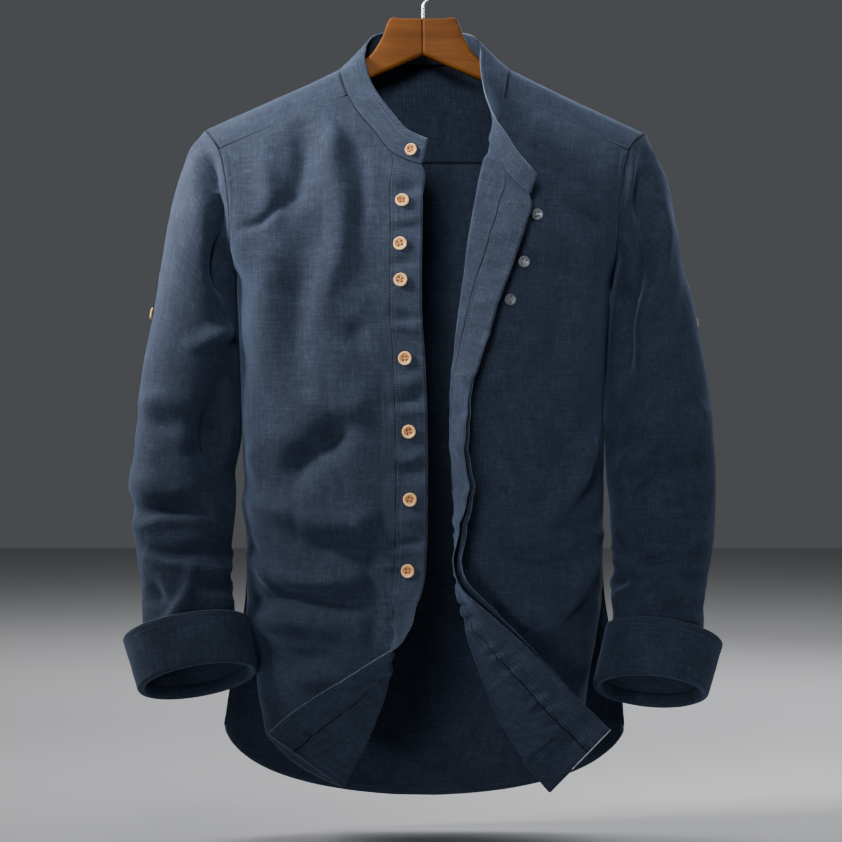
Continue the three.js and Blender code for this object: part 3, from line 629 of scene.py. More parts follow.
def shell(name, grid, normal, thick, material, cloth_uv, seams, loop):
    """Closed shell round a grid of points, with soft round edges. seams is 1 on edges that are sewn."""
    rows, columns = grid.shape[:2]
    half = thick[..., None] / 2
    count = rows * columns
    number = np.arange(count).reshape(rows, columns)
    wrap = uv_number = number
    if loop:
        wrap = np.concatenate([number, number[:, :1]], axis=1)
        uv_number = np.arange(rows * (columns + 1)).reshape(rows, columns + 1)

    def quads(n):
        return np.stack([n[:-1, :-1], n[1:, :-1], n[1:, 1:], n[:-1, 1:]], axis=-1).reshape(-1, 4)

    faces = [quads(wrap), quads(wrap)[:, ::-1] + count]
    uv_faces = [quads(uv_number), quads(uv_number)[:, ::-1]]
    up = unit(grid[0] - grid[1])
    down = unit(grid[-1] - grid[-2])
    if loop:
        borders = [
            (number[0], uv_number[0], up),
            (number[-1, ::-1], uv_number[-1, ::-1], down[::-1]),
        ]
    else:
        left = unit(grid[:, 0] - grid[:, 1])
        right = unit(grid[:, -1] - grid[:, -2])
        ids = np.concatenate([number[0], number[1:, -1], number[-1, -2::-1], number[-2:0:-1, 0]])
        ways = np.concatenate([up, right[1:], down[-2::-1], left[-2:0:-1]])
        borders = [(ids, ids, ways)]
    vertices = [(grid + normal * half).reshape(-1, 3), (grid - normal * half).reshape(-1, 3)]
    in_seam = [seams.ravel(), seams.ravel()]
    base = 2 * count
    for ids, uv_ids, ways in borders:
        vertices.append(grid.reshape(-1, 3)[ids] + ways * half.reshape(-1, 1)[ids] * LIP)
        in_seam.append(seams.ravel()[ids])
        here = np.arange(len(ids))
        after = (here + 1) % len(ids)
        a, b = ids, ids[after]
        ua, ub = uv_ids[here], uv_ids[here + 1 if loop else after]
        faces.append(np.stack([a, b, base + after, base + here], axis=-1))
        faces.append(np.stack([base + here, base + after, b + count, a + count], axis=-1))
        uv_faces += [np.stack([ua, ub, ub, ua], axis=-1)] * 2
        base += len(ids)
    piece = mesh_piece(name, np.concatenate(vertices), np.concatenate(faces), material,
                       np.stack(cloth_uv, axis=-1).reshape(-1, 2), np.concatenate(uv_faces))
    in_seam = np.concatenate(in_seam)
    # Painted highlight mark: 1 on the lips of the free edges, 0 on sewn edges and the faces
    edge_highlight = (np.arange(base) >= 2 * count) * (1 - in_seam)
    # The seam mark also sets where painted shade darkens the sewn edges
    for attribute, values in (("edge_highlight", edge_highlight), ("seam", in_seam)):
        piece.data.attributes.new(attribute, "FLOAT", "POINT").data.foreach_set("value", values)
    return piece


def hanging_grain(grid, anchor):
    """Weave coordinates of a panel that hangs: level distance from one column, and height."""
    run = run_across(grid[..., :2])
    along = np.sign(grid[len(grid) // 2, anchor, 0] - grid[len(grid) // 2, 0, 0])
    across = grid[:, anchor:anchor + 1, 0] + (run - run[:, anchor:anchor + 1]) * along
    height = grid[..., 2].copy()
    height[:, anchor:] = height[:, anchor:anchor + 1]
    return across, height


def yoke_grain(grid):
    """Weave coordinates of the yoke: across the shoulders, and from front to back over the ridge."""
    ridge = -112 - np.maximum(np.abs(grid[..., 0]) - 87, 0) * 0.46
    reach = np.hypot(grid[..., 1], grid[..., 2] - ridge)
    return grid[..., 0] * 1.08, reach * np.sign(grid[..., 1])


def cloth_coordinates(grid, loop):
    """Distances across and down the cloth, for its weave."""
    across = run_across(closed(grid) if loop else grid)
    down = np.linalg.norm(np.diff(closed(grid) if loop else grid, axis=0), axis=2).mean(axis=1)
    down = np.concatenate([[0.0], np.cumsum(down)])[:, None] + np.zeros_like(across)
    return across - across[:, across.shape[1] // 2][:, None], down


# Fronts

def front_path(row):
    """One row of a front: body section, turn, flap to the free edge."""
    inward = 1.0 if row["xe"] > row["xs"] else -1.0
    start = np.array([row["xs"], row["ys"], row["zs"]])
    edge = np.array([row["xe"], row["ye"], row["ze"]])
    radius = row["turn"]
    begin = np.array([row["xr"] - inward * radius, row["yr"], row["zr"]])
    angle = np.linspace(0, math.pi / 2, BODY_SAMPLES)
    power = 2 / row["full"]
    across = 1 - np.maximum(np.cos(angle), 0) ** power
    forward = np.sin(angle) ** power
    body = mix(start, begin, np.stack([across, forward, (across + forward) / 2], axis=-1))
    ahead = (edge[0] - begin[0]) * inward
    out = begin[1] - edge[1] - radius
    swing = max(0.0, math.atan2(out, ahead) - math.acos(radius / math.hypot(ahead, out)) + math.pi / 2)
    a = np.linspace(0, swing, TURN_SAMPLES)[1:]
    turned = begin + radius * np.stack([inward * np.sin(a), np.cos(a) - 1, 0 * a], axis=-1)
    return np.concatenate([body, turned, edge[None]]), runs(body)[-1], radius * swing


def front_grids(rows, first_band):
    """Panel and band grids of one front at full resolution."""
    panel = []
    band = []
    for place in fine_places(rows, ROWS_EACH):
        path, body_run, turn_run = front_path(row_at(rows, place))
        total = runs(path)[-1]
        rest = total - body_run
        turn_run = min(max(turn_run, rest * 0.12), rest * 0.6)
        seam = total - BAND_WIDTH * np.clip(place - (first_band - 1), 0, 1)
        turn_end = min(body_run + turn_run, seam - 2)
        body_end = min(body_run, turn_end - 6)
        marks = np.concatenate([
            np.linspace(0, EDGE_REACH, EDGE_COLUMNS),
            np.linspace(EDGE_REACH, body_end, BODY_COLUMNS - EDGE_COLUMNS + 1)[1:],
            np.linspace(body_end, turn_end, TURN_COLUMNS + 1)[1:],
            np.linspace(turn_end, seam - 0.5, FLAP_COLUMNS + 1)[1:],
        ])
        panel.append(walk(path, marks))
        if place >= first_band:
            band.append(walk(path, np.linspace(seam, total, BAND_COLUMNS)))
    return np.array(panel), np.array(band)


def neck_point(place):
    return points_of(NECK, place)


def with_neck(panel, band, first_band, neck_from, neck_step):
    """Fit the panel's neck edge, and the top of the band, to the neck seam."""
    first = first_band * ROWS_EACH
    fitted = 2 * ROWS_EACH
    target = neck_point(np.linspace(neck_from, neck_from + 2 * neck_step, BAND_COLUMNS))
    band[:fitted] += (target - band[0]) * np.linspace(1, 0, fitted)[:, None, None]
    across = np.linspace(0, 1, panel.shape[1]) ** 6
    corner = target[0] - panel[first, -1]
    for r in range(first + fitted):
        if r <= first:
            move = neck_point(neck_from - neck_step * (first - r) / ROWS_EACH) - panel[r, -1]
        else:
            move = corner * (1 - (r - first) / fitted)
        panel[r] += move * across[:, None]
    return panel, band


# Back, yoke, collar, sleeves and cuffs

def back_row(row, places):
    """Points across the back at one height, places from -1 on the wearer's right to 1."""
    from_middle = np.abs(places)
    angle = (1 - from_middle) * math.pi / 2
    power = 2 / row["full"]
    half = np.where(places < 0, -row["xright"], row["xleft"])
    x = half * np.sign(places) * np.maximum(np.cos(angle), 0) ** power
    y = mix(row["yside"], row["ymid"], np.sin(angle) ** power) + SIDE_SPACE * from_middle
    z = row["zmid"] + (row["zside"] - row["zmid"]) * from_middle ** row["rise"]
    return np.stack([x, y, z], axis=-1)


def back_grid():
    across = np.linspace(-1, 1, BACK_COLUMNS + 1)
    return np.array([back_row(row_at(BACK, place), across) for place in fine_places(BACK, BACK_ROWS_EACH)])


def yoke_grid():
    """From the neck seam out to the rim: right shoulder, back seam, left shoulder."""
    seam = back_row(row_at(BACK, 0.0), np.linspace(-1, 1, YOKE_COLUMNS_BACK + 1))
    places = fine_places(SHOULDER_RIGHT, SHOULDER_COLUMNS_EACH)
    right, left = (points_of(shoulder, places, "neck x y z") for shoulder in (SHOULDER_RIGHT, SHOULDER_LEFT))
    rim = np.concatenate([right[:, 1:], seam[1:-1], left[:, 1:]])
    behind = np.linspace(right[-1, 0], left[0, 0], YOKE_COLUMNS_BACK + 1)
    neck = neck_point(np.concatenate([right[:, 0], behind[1:-1], left[:, 0]]))
    along = unit(rim - neck)
    start = neck + along * 0.3
    end = rim - along * 0.7
    grid = mix(start, end, np.linspace(0, 1, YOKE_ROWS)[:, None, None])
    grid[:, 0] += unit(grid[:, 1] - grid[:, 0]) * 0.8
    grid[:, -1] += unit(grid[:, -2] - grid[:, -1]) * 0.8
    return grid


def collar_grid():
    """From the neck seam up to the collar's top edge."""
    places = np.linspace(0, len(NECK["x"]) - 1, COLLAR_COLUMNS)
    seam = neck_point(places)
    top = points_of(NECK, places, "xt yt zt")
    start = seam + unit(top - seam) * SEAM_SPACE
    return mix(start, top, np.linspace(0, 1, COLLAR_ROWS)[:, None, None])


def ring_points(row, turns):
    angle = turns * math.pi * 2
    tilt = math.radians(row["tilt"])
    across = (np.cos(angle) + 1) / 2
    depth = -np.sin(angle) * row["deep"]
    return np.stack([
        mix(row["xi"], row["xo"], across),
        row["y"] + depth * math.cos(tilt),
        mix(row["zi"], row["zo"], across) - depth * math.sin(tilt),
    ], axis=-1)


def armhole_runs(shoulder, front, armpit, back_side):
    """Armhole edge from the shoulder tip to under the arm: front branch and back branch."""
    rim = points_of(shoulder, np.linspace(0, len(shoulder["x"]) - 1, 2 * RIM_STEPS + 1))
    if shoulder["x"][0] > 0:
        rim = rim[::-1]
    chest = points_of(front, np.linspace(1, armpit, 2 * RIM_STEPS + 1), "xs ys zs")
    places = np.linspace(0, ARMPIT_BACK, ARMPIT_BACK * BACK_ROWS_EACH + 1)
    behind = points_of(BACK, places, back_side + " yside zside")
    to_front = rim[:RIM_STEPS + 1][::-1]
    to_back = rim[RIM_STEPS:]
    return np.concatenate([to_front, chest]), np.concatenate([to_back, behind[1:], chest[-1:]])


def armhole_points(branches, turns):
    """Points of the armhole for turns round the sleeve, from the shoulder by the front and back again."""
    found = np.zeros((len(turns), 3))
    ahead = turns <= 0.5
    for branch, mask, share in zip(branches, (ahead, ~ahead), (turns * 2, (1 - turns) * 2)):
        found[mask] = walk(branch, share[mask] * runs(branch)[-1])
    return found


def sleeve_grid(rows, branches):
    """Rings from the armhole down; the first rings keep the armhole's own form."""
    turns = np.arange(SLEEVE_COLUMNS) / SLEEVE_COLUMNS
    own = armhole_points(branches, turns) - ring_points(row_at(rows, 0.0), turns)
    grid = []
    for place in fine_places(rows, SLEEVE_ROWS_EACH):
        row = row_at(rows, place)
        grid.append(ring_points(row, turns) + own * row["hold"])
    grid = np.array(grid)
    grid[0] += unit(grid[SLEEVE_ROWS_EACH] - grid[0]) * SEAM_SPACE
    under = ((1 - np.cos(turns * 2 * math.pi)) / 2) ** 2
    for r in range(3):
        grid[r, :, 0] += np.sign(rows["xo"][0]) * under * 1.1 * (1 - r / 3)
    return grid


def cuff_grid_of(cuff):
    """From inside the turn, round it and up to the cuff's rim."""
    turns = np.arange(SLEEVE_COLUMNS) / SLEEVE_COLUMNS
    turned = row_at(cuff, 0.0)
    base = ring_points(turned, turns)
    rim = ring_points(row_at(cuff, 1.0), turns)
    tilt = math.radians(turned["tilt"])
    down = np.array([0, -math.sin(tilt), -math.cos(tilt)])
    radial = base - ring_points(turned, (turns + 0.5) % 1)
    out = unit(radial - (radial @ down)[:, None] * down)
    turn = [base + out * o + down * (d - 3) for o, d in zip(CUFF_TURN["out"], CUFF_TURN["down"])]
    return np.array(turn + [mix(turn[-1], rim, t) for t in np.linspace(0, 1, CUFF_ROWS + 1)[1:]])


def with_tail(grid, cuff_grid):
    """The sleeve with a tail of rings that leads to the cuff."""
    end = cuff_grid[0] - unit(cuff_grid[0] - grid[-1]) * 0.5
    tail = [mix(grid[-1], end, t) for t in np.linspace(0, 1, TAIL_ROWS + 1)[1:]]
    return np.concatenate([grid, np.array(tail)])


# Materials

WEAVE_PITCH = 0.0011
# Painted shade for the sewn edges, where a seam's groove lies in shadow
SEAM_SHADE_TINT = (0.0015, 0.002, 0.004)
# Painted highlight for the lips of the free edges, where they catch the light
EDGE_HIGHLIGHT_TINT = (0.20, 0.235, 0.30)


def nodes_of(name):
    material = bpy.data.materials.new(name)
    material.use_nodes = True
    tree = material.node_tree
    return material, tree, tree.nodes["Principled BSDF"]


def node(tree, kind, **values):
    made = tree.nodes.new(kind)
    for key, value in values.items():
        if key in made.inputs:
            made.inputs[key].default_value = value
        else:
            setattr(made, key, value)
    return made


def stretched_noise(tree, source, scale, detail, roughness=0.6):
    mapping = node(tree, "ShaderNodeMapping")
    mapping.inputs["Scale"].default_value = scale
    tree.links.new(source, mapping.inputs["Vector"])
    texture = node(tree, "ShaderNodeTexNoise", Scale=1.0, Detail=detail, Roughness=roughness)
    tree.links.new(mapping.outputs[0], texture.inputs["Vector"])
    return texture.outputs["Fac"]


def maths(tree, operation, *values):
    made = node(tree, "ShaderNodeMath", operation=operation)
    for socket, value in zip(made.inputs, values):
        if isinstance(value, (int, float)):
            socket.default_value = value
        else:
            tree.links.new(value, socket)
    return made.outputs[0]


def weighted(tree, *parts):
    """Sum of values, each times its weight."""
    total = None
    for value, weight in parts:
        share = maths(tree, "MULTIPLY", value, weight)
        total = share if total is None else maths(tree, "ADD", total, share)
    return total


def mixed(tree, share, first, second, blend="MIX"):
    """Two colours mixed; the first is a socket, the second a socket or a colour."""
    made = node(tree, "ShaderNodeMix", data_type="RGBA", blend_type=blend)
    for socket, value in ((made.inputs["Factor"], share), (made.inputs[6], first), (made.inputs[7], second)):
        if isinstance(value, (int, float, tuple)):
            socket.default_value = value
        else:
            tree.links.new(value, socket)
    return made.outputs[2]


def bumped(tree, shader, height, strength, distance):
    bump = node(tree, "ShaderNodeBump", Strength=strength, Distance=distance)
    tree.links.new(height, bump.inputs["Height"])
    tree.links.new(bump.outputs["Normal"], shader.inputs["Normal"])


def ramp(tree, value, stops):
    made = node(tree, "ShaderNodeValToRGB")
    while len(made.color_ramp.elements) < len(stops):
        made.color_ramp.elements.new(0.5)
    for element, (place, colour) in zip(made.color_ramp.elements, stops):
        element.position = place
        element.color = (*colour, 1)
    tree.links.new(value, made.inputs["Fac"])
    return made.outputs["Color"]


def cloth_material(name, dark, middle, light):
    """Navy linen: uneven threads both ways, slubs, and a fine plain weave in the bump."""
    material, tree, shader = nodes_of(name)
    source = node(tree, "ShaderNodeUVMap", uv_map="cloth").outputs["UV"]
    warp = stretched_noise(tree, source, (1150, 120, 1), 3)
    weft = stretched_noise(tree, source, (120, 1050, 1), 3)
    slub_warp = stretched_noise(tree, source, (480, 26, 1), 3)
    slub_weft = stretched_noise(tree, source, (30, 450, 1), 3)
    patch = stretched_noise(tree, source, (34, 30, 1), 6, 0.68)
    threads = weighted(tree, (warp, 0.5), (weft, 0.5))
    slubs = weighted(tree, (slub_warp, 0.5), (slub_weft, 0.5))
    tone = weighted(tree, (threads, 0.46), (slubs, 0.34), (patch, 0.20))
    colour = ramp(tree, tone, [(0.38, dark), (0.5, middle), (0.62, light)])
    # The seam mark paints shade on the sewn edges, where a seam's groove lies in shadow
    marks = (("seam", 2.3, 0.95, SEAM_SHADE_TINT), ("edge_highlight", 1.0, slub_weft, EDGE_HIGHLIGHT_TINT))
    # The edge highlight mark paints light on the lips of the free edges, varied by the slubs
    for attribute, sharp, strength, tint in marks:
        value = node(tree, "ShaderNodeAttribute", attribute_name=attribute).outputs["Fac"]
        share = maths(tree, "MULTIPLY", maths(tree, "POWER", value, sharp), strength)
        colour = mixed(tree, share, colour, (*tint, 1))
    tree.links.new(colour, shader.inputs["Base Color"])

    def weave(direction):
        wave = node(tree, "ShaderNodeTexWave", wave_type="BANDS", bands_direction=direction,
                    Scale=1 / WEAVE_PITCH / 3.1, Distortion=1.2, Detail=1.0)
        tree.links.new(source, wave.inputs["Vector"])
        return wave.outputs["Fac"]

    crossing = maths(tree, "MULTIPLY", weave("X"), weave("Y"))
    bumped(tree, shader, weighted(tree, (crossing, 0.35), (threads, 0.9), (slubs, 0.7)), 0.55, 0.0006)
    tree.links.new(maths(tree, "MULTIPLY_ADD", threads, -0.16, 0.95), shader.inputs["Roughness"])
    shader.inputs["Sheen Weight"].default_value = 0.22
    shader.inputs["Sheen Roughness"].default_value = 0.45
    shader.inputs["Sheen Tint"].default_value = (0.42, 0.58, 0.95, 1)
    shader.inputs["Specular IOR Level"].default_value = 0.18
    return material


def thread_material(name, dark, light):
    material, tree, shader = nodes_of(name)
    source = node(tree, "ShaderNodeTexCoord").outputs["Object"]
    twist = stretched_noise(tree, source, (900, 900, 900), 2)
    tree.links.new(ramp(tree, twist, [(0.3, dark), (0.7, light)]), shader.inputs["Base Color"])
    shader.inputs["Roughness"].default_value = 0.6
    return material


def wood_material(name, dark, middle, light, scale, rough, specular, bump_depth, dish=None):
    """Grain along X: long uneven bands and fine pores, and painted shade that darkens the inside of the
    radius dish.
    """
    material, tree, shader = nodes_of(name)
    source = node(tree, "ShaderNodeTexCoord").outputs["Object"]

    def grain(sizes, detail, roughness=0.6):
        return stretched_noise(tree, source, tuple(size * scale for size in sizes), detail, roughness)

    broad = grain((5, 60, 60), 4)
    fine = grain((28, 900, 900), 3, 0.65)
    slow = grain((9, 14, 14), 2)
    tone = weighted(tree, (broad, 0.5), (fine, 0.25), (slow, 0.25))
    colour = ramp(tree, tone, [(0.34, dark), (0.5, middle), (0.66, light)])
    # Painted shade: the wood multiplied darker inside the dished middle, fading out towards the rim
    if dish:
        parts = node(tree, "ShaderNodeSeparateXYZ")
        tree.links.new(source, parts.inputs[0])
        squares = [maths(tree, "MULTIPLY", part, part) for part in parts.outputs[:2]]
        radius = maths(tree, "SQRT", maths(tree, "ADD", *squares))
        share = maths(tree, "DIVIDE", radius, dish)
        dish_shade = ramp(tree, share, [(0.55, (0.62, 0.40, 0.24)), (0.95, (1, 1, 1))])
        colour = mixed(tree, 1, colour, dish_shade, "MULTIPLY")
    tree.links.new(colour, shader.inputs["Base Color"])
    bumped(tree, shader, fine, 0.35, bump_depth)
    tree.links.new(maths(tree, "MULTIPLY_ADD", fine, 0.18, rough), shader.inputs["Roughness"])
    shader.inputs["Specular IOR Level"].default_value = specular
    return material


def metal_material(name, colour, rough, metallic):
    material, tree, shader = nodes_of(name)
    source = node(tree, "ShaderNodeTexCoord").outputs["Object"]
    fine = stretched_noise(tree, source, (700, 700, 700), 4)
    tint = tuple(c * 1.35 for c in colour)
    tree.links.new(ramp(tree, fine, [(0.3, colour), (0.75, tint)]), shader.inputs["Base Color"])
    tree.links.new(maths(tree, "MULTIPLY_ADD", fine, 0.14, rough), shader.inputs["Roughness"])
    bumped(tree, shader, fine, 0.1, 0.00001)
    shader.inputs["Metallic"].default_value = metallic
    return material


WEAVES = {
    "shirt_cloth": cloth_material(
        "navy_linen", (0.0110, 0.0160, 0.029), (0.0225, 0.031, 0.052), (0.043, 0.058, 0.092)),
    "double_cloth": cloth_material(
        "navy_linen_band", (0.0115, 0.0165, 0.030), (0.0235, 0.0325, 0.054), (0.045, 0.061, 0.096)),
}
THREAD = thread_material("navy_thread", (0.020, 0.029, 0.049), (0.046, 0.062, 0.094))
PALE_THREAD = thread_material("pale_thread", (0.30, 0.31, 0.34), (0.62, 0.62, 0.63))
BUTTON_WOOD = wood_material("button_wood", (0.56, 0.26, 0.08), (0.92, 0.55, 0.22), (1.0, 0.78, 0.42),
                            1.6, 0.34, 0.5, 0.00006, dish=0.0062)
HANGER_WOOD = wood_material("hanger_wood", (0.078, 0.024, 0.004), (0.13, 0.043, 0.007), (0.19, 0.068, 0.012),
                            1.0, 0.48, 0.10, 0.00012)
GUNMETAL = metal_material("gunmetal", (0.16, 0.165, 0.185), 0.30, 0.6)
STEEL = metal_material("steel", (0.62, 0.63, 0.65), 0.16, 1.0)


# Camera, floor and light

CAMERA_DISTANCE = 3.0
CAMERA_HEIGHT = -0.4846
CAMERA_SIDE = -0.0021
SENSOR = 36
PHOTO_PIXELS = 842
MM_EACH_PIXEL = 1.05
FLOOR_HEIGHT = -0.93

# Soft lights: name, place, aim, size, power, colour, spread in degrees
LIGHTS = (
    ("key", (-1.3, -0.36, 0.48), (-0.22, 0, -0.15), (0.35, 0.4), 3.2, (1.0, 0.97, 0.94), 37),
    ("front", (-0.3, -2.7, 0.4), (0.03, 0, -0.14), (0.5, 0.5), 1.35, (0.95, 0.97, 1.0), 25),
    ("low", (-0.6, -1.9, -0.8), (0.12, 0, -0.74), (0.5, 0.2), 0.34, (0.93, 0.96, 1.0), 26),
    ("fill", (1.9, -1.2, -0.1), (0, 0, -0.45), (1.2, 1.2), 4.6, (0.92, 0.96, 1.0), 180),
    ("top", (-0.05, -0.55, 1.25), (0.02, 0.05, -0.25), (0.5, 0.4), 0.25, (1.0, 1.0, 1.0), 32),
    ("rim", (-1.7, 0.75, 0.2), (-0.25, 0, -0.35), (0.6, 0.8), 6.5, (0.97, 0.98, 1.0), 90),
    ("back", (0.9, 1.8, 0.7), (0, 0, -0.4), (1.2, 1.2), 22, (0.95, 0.97, 1.0), 180),
    ("floor", (0.0, 1.6, 1.9), (0, 2.0, -0.93), (2.4, 1.6), 26, (1.0, 1.0, 1.0), 120),
)


def set_camera():
    data = bpy.data.cameras.new("camera")
    data.sensor_width = SENSOR
    data.lens = SENSOR * CAMERA_DISTANCE / (PHOTO_PIXELS * MM_EACH_PIXEL * MM)
    camera = bpy.data.objects.new("camera", data)
    camera.location = (CAMERA_SIDE, -CAMERA_DISTANCE, CAMERA_HEIGHT)
    camera.rotation_euler = (math.pi / 2, 0, 0)
    bpy.context.scene.collection.objects.link(camera)
    bpy.context.scene.camera = camera


def set_lights():
    world = bpy.data.worlds.new("studio")
    world.use_nodes = True
    world.node_tree.nodes["Background"].inputs["Color"].default_value = (0.80, 0.84, 0.90, 1)
    world.node_tree.nodes["Background"].inputs["Strength"].default_value = 0.09
    bpy.context.scene.world = world
    for name, place, aim, size, power, colour, spread in LIGHTS:
        light = bpy.data.lights.new(name, "AREA")
        light.shape = "RECTANGLE"
        light.size, light.size_y = size
        light.energy = power
        light.color = colour
        light.spread = math.radians(spread)
        lamp = bpy.data.objects.new(name, light)
        lamp.location = place
        x, y, z = np.array(aim) - np.array(place)
        lamp.rotation_euler = (math.atan2(math.hypot(x, y), -z), 0, math.atan2(y, x) - math.pi / 2)
        bpy.context.scene.collection.objects.link(lamp)


def make_floor():
    bpy.ops.mesh.primitive_plane_add(size=14, location=(0, 0, FLOOR_HEIGHT))
    floor = bpy.context.active_object
    floor.name = "floor"
    material, _, shader = nodes_of("floor_grey")
    shader.inputs["Base Color"].default_value = (0.56, 0.56, 0.57, 1)
    shader.inputs["Roughness"].default_value = 0.85
    floor.data.materials.append(material)


# Cloth pieces

# Usual distance between columns and between rows
YOKE_PITCH = (5.0, 3.4)
COLLAR_PITCH = (1.6, 1.9)
# Gathers of a band's seam grow strong from this length down the front, over this stretch
GATHERS_FROM = 430
GATHERS_OVER = 130
# A sleeve lies close beside the body down to this height, and parts from it over this stretch
BESIDE_UNTIL = -545
BESIDE_OVER = 50
# Tucks of a sleeve round its cuff: how many in a turn, and how high
TUCKS = 11
TUCK_HEIGHT = 1.3

SURFACES = {}


def cut_of(grid, loop):
    """Width, length and area of the cloth on a grid of points, before its creases, in metres."""
    whole = closed(grid) if loop else grid
    across = run_across(whole)[:, -1].max()
    down = run_across(whole.transpose(1, 0, 2))[:, -1].max()
    start = whole[:-1, :-1]
    diagonal = whole[1:, 1:] - start
    halves = [np.cross(diagonal, corner - start) for corner in (whole[1:, :-1], whole[:-1, 1:])]
    area = sum(np.linalg.norm(half, axis=2).sum() for half in halves) / 2
    return (across * MM, down * MM), area * MM ** 2


def held(piece, slot, *nodes):
    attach(piece, "root")
    if nodes:
        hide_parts(*nodes)


def border_fade(shape, top=0, bottom=0, first=0, last=0):
    """1 inside, 0 at the named edges, over a number of rows or columns."""
    rows, columns = shape[:2]
    r = np.arange(rows)[:, None]
    c = np.arange(columns)[None]
    fade = np.ones((rows, columns))
    for count, distance in ((top, r), (bottom, rows - 1 - r), (first, c), (last, columns - 1 - c)):
        if count:
            fade = fade * ease(distance / count)
    return fade


def edge_marks(shape, edges):
    """1 on the named edges of a grid, 0 elsewhere."""
    marks = np.zeros(shape)
    places = {"top": np.s_[0], "bottom": np.s_[-1], "first": np.s_[:, 0], "last": np.s_[:, -1]}
    for edge in edges.split():
        marks[places[edge]] = 1
    return marks


def cloth_piece(name, grid, side, height, thick, slot, sewn, loop=False, grain=None):
    """Cloth on a grid of points moved out by height. side is 1 where columns run so that normals face out."""
    moved = grid + normals_of(grid, loop) * side * height[..., None]
    normal = normals_of(moved, loop) * side
    thick = np.broadcast_to(thick, grid.shape[:2])
    SURFACES[name] = (moved, normal, thick / 2)
    uv = [part[:, ::side] for part in grain] if grain else cloth_coordinates(grid[:, ::side], loop)
    marks = edge_marks(grid.shape[:2], sewn)
    piece = shell(name + "_cloth", moved[:, ::side], normal[:, ::side], thick[:, ::side], WEAVES[slot], uv,
                  marks[:, ::side], loop)
    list(cut_of(grid, loop))
    held(piece, slot, name)


def hem_thickness(shape, rows_deep):
    """Thickness of a panel whose last rows are folded up as a hem."""
    from_hem = shape[0] - 1 - np.arange(shape[0])[:, None]
    return CLOTH + HEM_EXTRA * ease(rows_deep + 1 - from_hem) + np.zeros(shape[:2])


def puckers(from_seam, v, seed):
    """Small gathers across a stitched seam, stronger towards the turned-out corner."""
    strength = 0.3 + 2.6 * ease((v - GATHERS_FROM) / GATHERS_OVER)
    uneven = noise_grid(v / 6.5, from_seam / 40 + 5, seed)
    fine = noise_grid(v / 3.4, from_seam / 30 + 5, seed + 1)
    return strength * (uneven + 0.4 * fine) * bell(from_seam, 11)


def front_relief(panel, band, first_band, creases, placket_creases, seed):
    """Heights of a front's panel and band, one field across both."""
    from_edge = run_across(panel)
    u = from_edge - from_edge[:, -1:]
    v = runs(panel[:, -1])[:, None] + np.zeros_like(u)
    on_body = ease((BODY_COLUMNS - np.arange(panel.shape[1])) / 8)
    top = border_fade(panel.shape, top=10)
    loose = rumple(u, v, 62, 95, seed) * 1.1
    stitched = 0.4 * noise_grid(v / 5.2, from_edge / 30, seed + 4) * bell(from_edge - 4, 3.5)
    stitched -= 0.5 * bell(from_edge - 8, 1.6)
    stitched += 0.35 * bell(from_edge - 4.5, 2.2)
    body = (loose + creased(panel, creases)) * ease(from_edge / 22)
    height = mix(front_flap(panel, u, v, placket_creases, seed), body, on_body)
    height = (height + stitched * ease(from_edge / 2)) * top
    band_u, band_v = np.meshgrid(np.linspace(0, BAND_WIDTH, BAND_COLUMNS), v[first_band * ROWS_EACH:, 0])
    return height, front_flap(band, band_u, band_v, placket_creases, seed) * border_fade(band.shape, top=10)


def front_flap(grid, u, v, creases, seed):
    """Heights of the part of a front from its turn to its free edge."""
    loose = rumple(u, v, 30, 46, seed + 9) * (0.35 + 0.6 * ease((v - 200) / 300))
    from_free = u[:, -1:] - u
    return loose + creased(grid, creases) * (0.9 + 0.5 * ease(from_free / 14)) + puckers(u, v, seed + 20)


def make_front(name, rows, first_band, creases, placket_creases, side, neck_from, neck_step, seed):
    panel, band = with_neck(*front_grids(rows, first_band), first_band, neck_from, neck_step)
    height, band_height = front_relief(panel, band, first_band, creases, placket_creases, seed)
    cloth_piece("front_" + name, panel, side, height, hem_thickness(panel.shape, 3), "shirt_cloth",
                "top first last", grain=hanging_grain(panel, BODY_COLUMNS - 1))
    cloth_piece("placket_" + name, band, side, band_height, DOUBLE if name == "right" else PLY,
                "double_cloth", "top first")
    return band, band_height


def outer_ply(band, band_height, side):
    """The lapel's second ply, which parts from the first towards its free edge."""
    moved = band + normals_of(band) * side * band_height[..., None]
    share = np.clip((np.arange(len(moved)) / ROWS_EACH - 5) / 12, 0, 1)
    parted = PLY_PARTED * np.sin(share * math.pi)[:, None]
    along = np.linspace(0, 1, band.shape[1])
    away = unit(np.cross(np.gradient(moved[:, -1], axis=0), moved[:, -1] - moved[:, 0]))
    away *= np.where(away[:, :1] + away[:, 1:2] > 0, 1, -1)
    ply = moved + away[:, None] * (PLY + PLY_SPACE + parted * along)[..., None]
    cloth_piece("placket_left_outer", ply, side, np.zeros(band.shape[:2]), PLY, "double_cloth", "top first")


def make_back():
    grid = back_grid()
    u = run_across(grid)
    v = runs(grid[:, BACK_COLUMNS // 2])[:, None] + np.zeros_like(u)
    loose = rumple(u, v, 66, 105, 41) * (0.8 + 1.2 * ease((v - 120) / 350))
    height = (loose + creased(grid, CREASES_BACK)) * border_fade(grid.shape, top=7, first=6, last=6)
    cloth_piece("back", grid, -1, height, hem_thickness(grid.shape, 2), "shirt_cloth",
                "top first last", grain=(u, grid[..., 2]))


